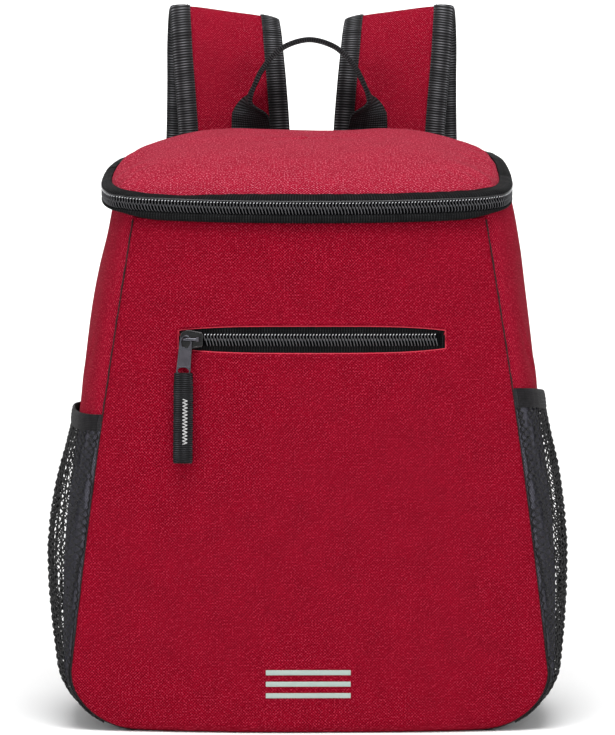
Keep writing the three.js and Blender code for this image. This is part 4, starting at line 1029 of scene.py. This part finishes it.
# A padded strap from the back panel to its lower end, with its binding and seams, by its table
def strap(side, name):
    points = np.stack([side * strapTable[:, 0] * strapSpread, backY + strapTable[:, 1] * strapReach,
                       strapTable[:, 2] * strapTop], -1)
    # both straps stand a little to the right between their fixed ends
    points[:, 0] += 1.8 * np.sin(np.pi * np.linspace(0, 1, len(points))) ** 0.5
    path, tangent, roll = bandPath(points, strapTable[:, 3], 180)
    level = np.array([side, 0.0, 0.0])
    width = unit(level - tangent * (tangent @ level)[:, None])
    width = turnAbout(width, tangent, -side * roll)
    normal = np.cross(tangent, width) * side
    reach = reachOf(path)
    # pad: a pillow section, cloth on the outer face and lining on the inner one
    share = np.sin(np.linspace(-1, 1, 25) * np.pi / 2)
    thick = lerp(strapThickness, strapEdge, share ** 4) / 2
    across = np.concatenate([share, share[::-1][1:-1]]) * (strapWidth / 2 - 0.4)
    out = np.concatenate([-thick, thick[::-1][1:-1]])
    wrinkle = 0.35 * np.sin(reach / 7.5 + side)[:, None] * np.cos(across / 22)[None]
    wrinkle *= bell(reach[:, None] - 165, 60)
    sections = sectionPoints(path, width, normal, across + 0 * wrinkle, out + wrinkle)
    outline = np.stack([across, out], -1)
    uv = grid(reachOf(np.concatenate([outline, outline[:1]]))[None], reach[:, None])
    faceSide = np.tile((np.arange(len(across)) > 23).astype(int), len(path) - 1)
    pad = sweep(f"strapPad_{name}", sections, uv, [strapCloth, liningCloth], slotIndex=faceSide)
    register(pad, [f"strap_pad_{name}"])
    # bindings: ribbed tape wrapped round each edge, with a row of stitches near its inner edge
    for part, sign in (("outer", 1), ("inner", -1)):
        inEdge = strapWidth / 2 + 1.5 - bindingWidth
        bindShare = inEdge / (strapWidth / 2)
        high = lerp(strapThickness, strapEdge, bindShare ** 4) / 2 + 0.55
        low = strapEdge / 2 + 0.6
        half = np.array([(0, high), (4, high - 0.15), (8, high - 0.9), (11, low + 0.2), (12.6, low - 0.7)])
        profile = np.concatenate([half, [(bindingWidth, 0)], half[::-1] * [1, -1]]) + [inEdge, 0]
        seam = np.linspace(0, len(profile) - 1, 31)
        fine = np.stack([np.interp(seam, np.arange(len(profile)), profile[:, k]) for k in range(2)], -1)
        ahead = unit(np.gradient(fine, axis=0))
        away = np.stack([-ahead[:, 1], ahead[:, 0]], -1)
        away *= np.sign(np.sum(away * (fine - [inEdge, 0]), 1, keepdims=True) + 1e-9)
        outerLine, innerLine = fine + away * 0.45, fine - away * 0.3
        grids = [sectionPoints(path, width, normal, sign * line[:, 0] + 0 * reach[:, None],
                               line[:, 1] + 0 * reach[:, None]) for line in (outerLine, innerLine)]
        uv = grid(seam[None] * 0.9, reach[:, None])
        obj = slab(f"strapBinding_{part}_{name}", grids[0], grids[1], uv, bindingCloth)
        register(obj, [f"strap_binding_{part}_{name}"])
        for face, faceName in ((-1, "front"), (1, "back")):
            line = path + width * (sign * (inEdge + 1.6)) + normal * (face * (high + 0.5))
            stitches(f"bindStitch_{part}_{faceName}_{name}", line, normal * face, darkThread,
                     radius=0.28)
    return path


# A flat woven band with rounded edges, along a path or once round it
def webbingRibbon(name, path, width, normal, nodes, wide=webbingWidth, thick=webbingWall, ring=False):
    reach = reachOf(path)
    share = np.array([-1, -0.985, -0.9, -0.5, 0, 0.5, 0.9, 0.985, 1])
    edge = np.array([0.4, 0.8, 1, 1, 1, 1, 1, 0.8, 0.4]) * thick / 2
    across = np.concatenate([share, share[::-1]]) * wide / 2
    out = np.concatenate([edge, -edge[::-1]])
    zero = 0 * reach[:, None]
    sections = sectionPoints(path, width, normal, across + zero, out + zero)
    rows = np.append(reach, reach[-1] + 2) if ring else reach
    around = np.concatenate([across, across[:1]]) + np.concatenate([np.zeros(9), np.full(10, 30.0)])
    uv = grid(around[None], rows[:, None])
    obj = sweep(name, sections, uv, webCloth, ring=ring)
    return register(obj, nodes)


# Evenly stepped points on the smooth curve
def smoothPath(points, count):
    return catmull(np.asarray(points), np.linspace(0, 1, count))


# Lower end of a strap: a tab holds the adjuster, and the webbing turns round its lower bar to the foot
def strapEnd(side, name, path):
    adjusterWall, adjusterBar, adjusterSlot, tailLength = 3.6, 3.0, 5.0, 60.0
    level = np.array([1.0, 0, 0])
    end = path[-1]
    down = unit(path[-1] - path[-8])
    out = unit(np.cross(level, down))
    right = np.cross(down, out)
    turn = math.hypot(adjusterWall, adjusterBar) / 2 + 0.4 + webbingWall / 2
    topBar = 2 * turn + 5
    lowerBar = topBar + 2 * adjusterBar + 2 * adjusterSlot

    def place(alongDown, outwards):
        return end + down * alongDown + out * outwards

    def halfTurn(middle, start, stop):
        return [place(middle + turn * math.sin(a), turn * math.cos(a))
                for a in np.radians(np.linspace(start, stop, 13))]

    tabTop = turn + webbingWall / 2 + gap + 1
    ring = np.array(halfTurn(tabTop, 180, 360) + halfTurn(topBar + adjusterBar / 2, 0, 180))
    ahead = unit(np.roll(ring, -1, 0) - np.roll(ring, 1, 0))
    width = np.broadcast_to(right, ring.shape)
    webbingRibbon(f"strapTab_{name}", ring, width, np.cross(ahead, width), [f"strap_tab_{name}"],
                  ring=True)
    # the tab's root runs up into the pad, where it is sewn
    root = np.array([place(reachIn, 0) for reachIn in np.linspace(-10, tabTop - turn + 0.3, 12)])
    rightward = np.broadcast_to(right, root.shape)
    webbingRibbon(f"strapTabRoot_{name}", root, rightward, np.cross(down, rightward), [])
    lower = halfTurn(lowerBar + adjusterBar / 2, 0, -180)
    foot = [np.array([side * webbingFoot, backY + gap + webbingWall / 2, t * cornerHeight])
            for t in (1.15, 0.85, 0.6)]
    between = [lerp(lower[-1], foot[0], t) for t in (0.4, 0.75)]
    between[1] = between[1] + [0, 1.5, 0]
    tail = [place(lowerBar + tailLength, turn), place(lowerBar + tailLength / 2, turn)]
    line = smoothPath(tail + lower + between + foot, 150)
    ahead = unit(np.gradient(line, axis=0))
    blend = np.clip((np.linspace(0, 1, 150) - 0.72) / 0.2, 0, 1)[:, None]
    width = lerp(right, level, blend)
    width = unit(width - ahead * np.sum(width * ahead, 1, keepdims=True))
    webbingRibbon(f"strapWebbing_{name}", line, width, np.cross(ahead, width), [f"strap_webbing_{name}"])


for name, pocket in pockets.items():
    path = strap(pocket["side"], name)
    strapEnd(pocket["side"], name, path)
print("straps")

# Handle: from its foot up the gusset, where it turns edge on, to the crest; the right half mirrors the left
handleTable = np.array([
    (0.97, 0, 0.745, 0), (0.97, 0, 0.8, 0), (0.97, 0, 0.848, 0), (0.97, 0.2, 0.867, 2),
    (0.98, 0.6, 0.888, 26), (0.99, 0.85, 0.91, 86), (0.885, 1, 0.936, 90), (0.77, 1, 0.9565, 90),
    (0.6, 1, 0.9755, 90), (0.39, 1, 0.9905, 90),
])
handleTop, handleHalf, handleForward, handleWall = backHeight + 90.0, 41.0, 13.0, 3.2
leftRows = handleTable * [-1, 1, 1, 1]
rightRows = handleTable[::-1] * [1, 1, 1, -1] + [0, 0, 0, 180]
handleRows = np.concatenate([leftRows, [(0, 1, 1, 90)], rightRows])
handleFloor = backY + gap + handleWall / 2
points = np.stack([handleRows[:, 0] * handleHalf, handleFloor - handleRows[:, 1] * handleForward,
                   handleRows[:, 2] * handleTop], -1)
path, tangent, roll = bandPath(points, handleRows[:, 3], 260)
width = np.stack([np.cos(roll), -np.sin(roll), 0 * roll], -1)
width = unit(width - tangent * np.sum(width * tangent, 1, keepdims=True))
webbingRibbon("grabHandle", path, width, np.cross(tangent, width), ["grab_handle"],
              wide=26.5, thick=handleWall)
print("handle")

# Reflective bars: thin film strips pressed on the front
bars = dict(count=3, middle=-0.8, half=27.25, lowest=24.5, spacing=7.4, halfHigh=1.6)
for index in range(bars["count"]):
    dx = np.linspace(-bars["half"], bars["half"], 40)[:, None]
    dz = np.linspace(-bars["halfHigh"], bars["halfHigh"], 7)
    edge = np.minimum(bars["half"] - np.abs(dx), bars["halfHigh"] - np.abs(dz))
    x, z = np.broadcast_arrays(bars["middle"] + dx, bars["lowest"] + index * bars["spacing"] + dz)
    outer, normal = frontAt(x, z, 0.5 - 0.3 * rollOff(edge, 0.6))
    inner, _ = frontAt(x, z, 0.05 + 0 * x)
    bar = slab(f"reflectiveBar_{index + 1}", outer, inner, np.stack([x, z], -1), barFilm)
    register(bar, [f"reflective_bar_{index + 1}"])

# Slider, puller and pull tape of the front zip, in the slider's own frame: right, up and outwards
sliderX = -75.6
at = np.array([sliderX, float(frontY(sliderX, zipZ)), zipZ])
acrossV = unit(np.array([2, float(frontY(sliderX + 1, zipZ) - frontY(sliderX - 1, zipZ)), 0]))
upV = unit(np.array([0, float(frontY(sliderX, zipZ + 1) - frontY(sliderX, zipZ - 1)), 2]))
outV = unit(np.cross(acrossV, upV))
upV = unit(np.array([0, 0, 1.0]) - outV * outV[2])
rightV = np.cross(upV, outV)


# A point of the slider's frame: right, up and outwards from where it stands
def inSlider(points):
    points = np.asarray(points, dtype=float)
    return at + points[..., :1] * rightV + points[..., 1:2] * upV + points[..., 2:3] * outV


# A bevelled plate cut from an outline and its holes, moved into the slider's frame
def plate(name, outlines, thick, floor, material, bevel=0.25, shift=(0, 0)):
    curve = bpy.data.curves.new(name, "CURVE")
    curve.dimensions = "2D"
    curve.fill_mode = "BOTH"
    curve.extrude = (thick / 2 - bevel) * mm
    curve.bevel_depth = bevel * mm
    curve.bevel_resolution = 2
    curve.offset = -bevel * mm
    for outline in outlines:
        spline = curve.splines.new("POLY")
        spline.points.add(len(outline) - 1)
        flat = np.zeros((len(outline), 4))
        flat[:, :2] = (np.asarray(outline) + shift) * mm
        flat[:, 3] = 1
        spline.points.foreach_set("co", flat.reshape(-1))
        spline.use_cyclic_u = True
    temp = bpy.data.objects.new(name + "Curve", curve)
    scene.collection.objects.link(temp)
    mesh = bpy.data.meshes.new_from_object(temp.evaluated_get(bpy.context.evaluated_depsgraph_get()))
    bpy.data.objects.remove(temp)
    co = np.zeros(len(mesh.vertices) * 3)
    mesh.vertices.foreach_get("co", co)
    co = co.reshape(-1, 3) / mm
    co[:, 2] += floor + thick / 2
    mesh.vertices.foreach_set("co", (inSlider(co) * mm).reshape(-1))
    mesh.polygons.foreach_set("use_smooth", np.ones(len(mesh.polygons), dtype=bool))
    mesh.set_sharp_from_angle(angle=math.radians(35))
    mesh.materials.clear()
    mesh.materials.append(material)
    obj = bpy.data.objects.new(name, mesh)
    scene.collection.objects.link(obj)
    return obj


# Points on an ellipse about (cx, cy)
def ellipse(cx, cy, rx, ry, start=0, stop=360, count=40):
    a = np.radians(np.linspace(start, stop, count))
    return np.stack([cx + rx * np.cos(a), cy + ry * np.sin(a)], -1)


postX, pullerFloor, pullerWall, eyeTop = -4.5, 3.6, 1.6, 1.6
eyeMid, pullerTop = eyeTop - 3.5, eyeTop + 1.2
pullerBottom = pullerTop - 27
holeMid = pullerBottom + 4.0
outline = np.concatenate([[(-4.7, pullerBottom), (4.7, pullerBottom)],
                          ellipse(0, eyeMid, 4.15, pullerTop - eyeMid, 0, 180)])
eye = ellipse(0, eyeMid, 2.95, 3.5)[:-1]
hole = ellipse(0, holeMid, 3.7, 2.2)[:-1]
window = np.array([(-3.3, eyeMid - 5.0), (-3.8, holeMid + 3.0), (3.8, holeMid + 3.0), (3.3, eyeMid - 5.0)])
lean = math.radians(-4.5)
turned = np.array([[math.cos(lean), math.sin(lean)], [-math.sin(lean), math.cos(lean)]])
outline, eye, hole, window = ((shape - [0, holeMid]) @ turned + [0, holeMid] for shape in
                              (outline, eye, hole, window))
core = plate("pullerCore", [outline, eye, hole], 1.0, pullerFloor + 0.3, plateMetal, 0.15, (postX, 0))
border = plate("pullerRim", [outline, eye, hole, window], pullerWall, pullerFloor, darkMetal, 0.3, (postX, 0))
register(border, ["front_zip_puller"], "front_puller")
register(core, [], "front_puller")

upperHalf = np.concatenate([ellipse(6.2, 3.2, 1.5, 1.3, 0, 90, 8), ellipse(-2.6, 1.6, 4.6, 4.0, 80, 180, 14)])
bodyOutline = np.concatenate([upperHalf, upperHalf[::-1] * [1, -1]])
sliderBody = plate("sliderBody", [bodyOutline], 2.6, 0.3, blackEnamel, 0.5)
register(sliderBody, ["front_zip_slider"])
lips = []
for sign in (1, -1):
    lip = np.array([(-7.0, 0.8, 2.4), (-6.4, 3.4, 2.6), (-4.4, 5.1, 2.7), (-1.6, 5.5, 2.7), (2.0, 5.0, 2.6),
                    (5.0, 4.5, 2.4), (7.2, 4.3, 2.0)])
    lips.append(inSlider(smoothPath(lip * [1, sign, 1], 30)))
lips = tubes("sliderLips", np.array(lips), np.broadcast_to(outV, (2, 30, 3)), 0.55, 8, blackEnamel)
register(lips, [])
block = plate("crownBlock", [[(3.9, -1.5), (5.7, -1.5), (5.7, 1.5), (3.9, 1.5)]], 4.2, 2.6, plateMetal, 0.4)
register(block, [])
crownPath = np.array([(postX, 0, 2.2), (postX, 0, 5.4), (postX + 0.5, 0, 6.3), (postX + 1.8, 0, 6.6),
                      (0, 0, 6.65), (3.0, 0, 6.5), (4.2, 0, 6.1), (4.7, 0, 5.2), (4.7, 0, 2.2)])
crownPath = inSlider(smoothPath(crownPath, 40))
crown = tubes("sliderCrown", crownPath[None], np.broadcast_to(upV, (1, 40, 3)), 0.8, 12, darkMetal, flat=1.25)
register(crown, [])

# Pull tape: ribbed tape folded through the puller's lower hole and closed by a white zigzag
slabTop = pullerBottom - 0.6
t = np.linspace(0, 1, 140)
drop = lerp(holeMid - 1.2, slabTop - 54.6, t)
curl = 0.6 * bell(t - 1, 0.02) + 0.25 * np.sin(t * 9)
faces = []
halfX = lerp(5.7, 6.2, np.clip(t * 6, 0, 1)) + 0.12 * np.sin(t * 130) - 0.25 * bell(t - 0.985, 0.012)
share = np.linspace(-1, 1, 15)
middleZ = pullerFloor + pullerWall / 2
for sign in (1, -1):
    lift = np.where(drop > slabTop - 4, lerp(1.2, 2.2, np.clip((drop - slabTop + 4) / 6, 0, 1)), 1.2)
    outwards = sign * (lift[:, None] * (1 - 0.25 * share[None] ** 8)) + 0.15 * curl[:, None]
    faces.append(grid(postX + share[None] * halfX[:, None], drop[:, None], middleZ + outwards))
bow = 1.1 * share[None] ** 2 * bell(t[:, None], 0.12) - 0.5 * share[None] ** 2 * bell(t[:, None] - 1, 0.1)
uv = grid(share[None] * 6.1, drop[:, None] + bow)
tape = slab("pullTape", inSlider(faces[0]), inSlider(faces[1]), uv, tapeCloth)
register(tape, ["front_zip_pull_tape"], "front_puller")
zigCount = 26
zig = np.arange(zigCount + 1)
zigX = postX + 1.4 + np.where(zig % 2 == 0, -1.5, 1.5)
zigY = lerp(slabTop - 13.5, slabTop - 42.5, zig / zigCount)
corners = np.stack([zigX, zigY, 0 * zig + middleZ + 1.35], -1)
s = np.linspace(0, zigCount, 20 * zigCount + 1)
path = np.stack([np.interp(s, zig, corners[:, k]) for k in range(3)], -1)
path[:, 2] += 0.22 * np.abs(np.sin(np.pi * s))
path[1:-1] = (path[:-2] + path[1:-1] + path[2:]) / 3
refs = np.broadcast_to(outV, (1, len(s), 3))
zigzag = tubes("pullTapeZigzag", inSlider(path)[None], refs, 0.34, 8, whiteThread)
register(zigzag, [], "front_puller")
print("slider")


# Hard CAD pieces that stay get softened edges and their materials
def keepNode(name, material, bevel):
    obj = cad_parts[name]
    obj.data.materials.clear()
    obj.data.materials.append(material)
    if bevel:
        mod = obj.modifiers.new("edges", "BEVEL")
        mod.width = bevel * mm
        mod.segments = 2
        mod.limit_method = "ANGLE"


keepNode("main_zip_slider", darkMetal, 0.4)
keepNode("front_wall", redCloth, 0)
for name in pockets:
    keepNode(f"strap_adjuster_{name}", blackPlastic, 0.5)

# Stage, light and camera
floorMesh = bpy.data.meshes.new("floor")
floorHalf, sweepStart, bend = 7.0, 4.6, 1.6
floorMaterial = smoothMaterial("floorPaper", (250, 250, 250), 0.7, grain=0.0, variation=0.0)
profile = [(sweepStart + bend * math.sin(a), bend * (1 - math.cos(a)))
           for a in np.linspace(0, math.pi / 2, 24)]
profile = [(-floorHalf, 0.0)] + profile + [(sweepStart + bend, floorHalf)]
verts = [(x, y, z) for y, z in profile for x in (-floorHalf, floorHalf)]
floorMesh.from_pydata(verts, [], [(2 * i, 2 * i + 1, 2 * i + 3, 2 * i + 2) for i in range(len(profile) - 1)])
floorMesh.polygons.foreach_set("use_smooth", np.ones(len(floorMesh.polygons), dtype=bool))
floorMesh.materials.append(floorMaterial)
floor = bpy.data.objects.new("floor", floorMesh)
scene.collection.objects.link(floor)


# A rectangle of light at a place, facing its target
def areaLight(name, place, target, size, power):
    light = bpy.data.lights.new(name, "AREA")
    light.shape = "RECTANGLE"
    light.size, light.size_y = size
    light.energy = power
    obj = bpy.data.objects.new(name, light)
    scene.collection.objects.link(obj)
    obj.location = place
    obj.rotation_euler = (Vector(target) - Vector(place)).to_track_quat("-Z", "Y").to_euler()


lights = {
    "keyTop": dict(place=(0.0, -0.9, 2.4), target=(0, 0, 0.3), size=(1.8, 1.2), power=62),
    "fillLeft": dict(place=(-2.4, -2.2, 1.2), target=(0, 0, 0.25), size=(1.6, 1.6), power=22),
    "fillRight": dict(place=(2.4, -2.2, 1.2), target=(0, 0, 0.25), size=(1.6, 1.6), power=22),
    "front": dict(place=(0.0, -3.6, 1.0), target=(0, 0, 0.25), size=(2.0, 1.4), power=16),
    "backdrop": dict(place=(0.0, 3.6, 3.4), target=(0, 6.0, 1.0), size=(4.0, 1.6), power=150),
}
for name, light in lights.items():
    areaLight(name, **light)
world = bpy.data.worlds.new("studio")
world.use_nodes = True
for socket, value in zip(world.node_tree.nodes["Background"].inputs, ((1, 1, 1, 1), 0.45)):
    socket.default_value = value
scene.world = world

camera = bpy.data.objects.new("camera", bpy.data.cameras.new("camera"))
scene.collection.objects.link(camera)
scene.camera = camera
view = dict(place=(-0.0013, -2.6886, 0.3766), lookDown=3.11, lens=199.0, sensor=36)
camera.location = view["place"]
camera.rotation_euler = (math.radians(90 - view["lookDown"]), 0, 0)
camera.data.lens = view["lens"]
camera.data.sensor_width = view["sensor"]
scene.render.resolution_x, scene.render.resolution_y = 615, 735
scene.view_settings.view_transform = "Standard"
scene.view_settings.look = "None"
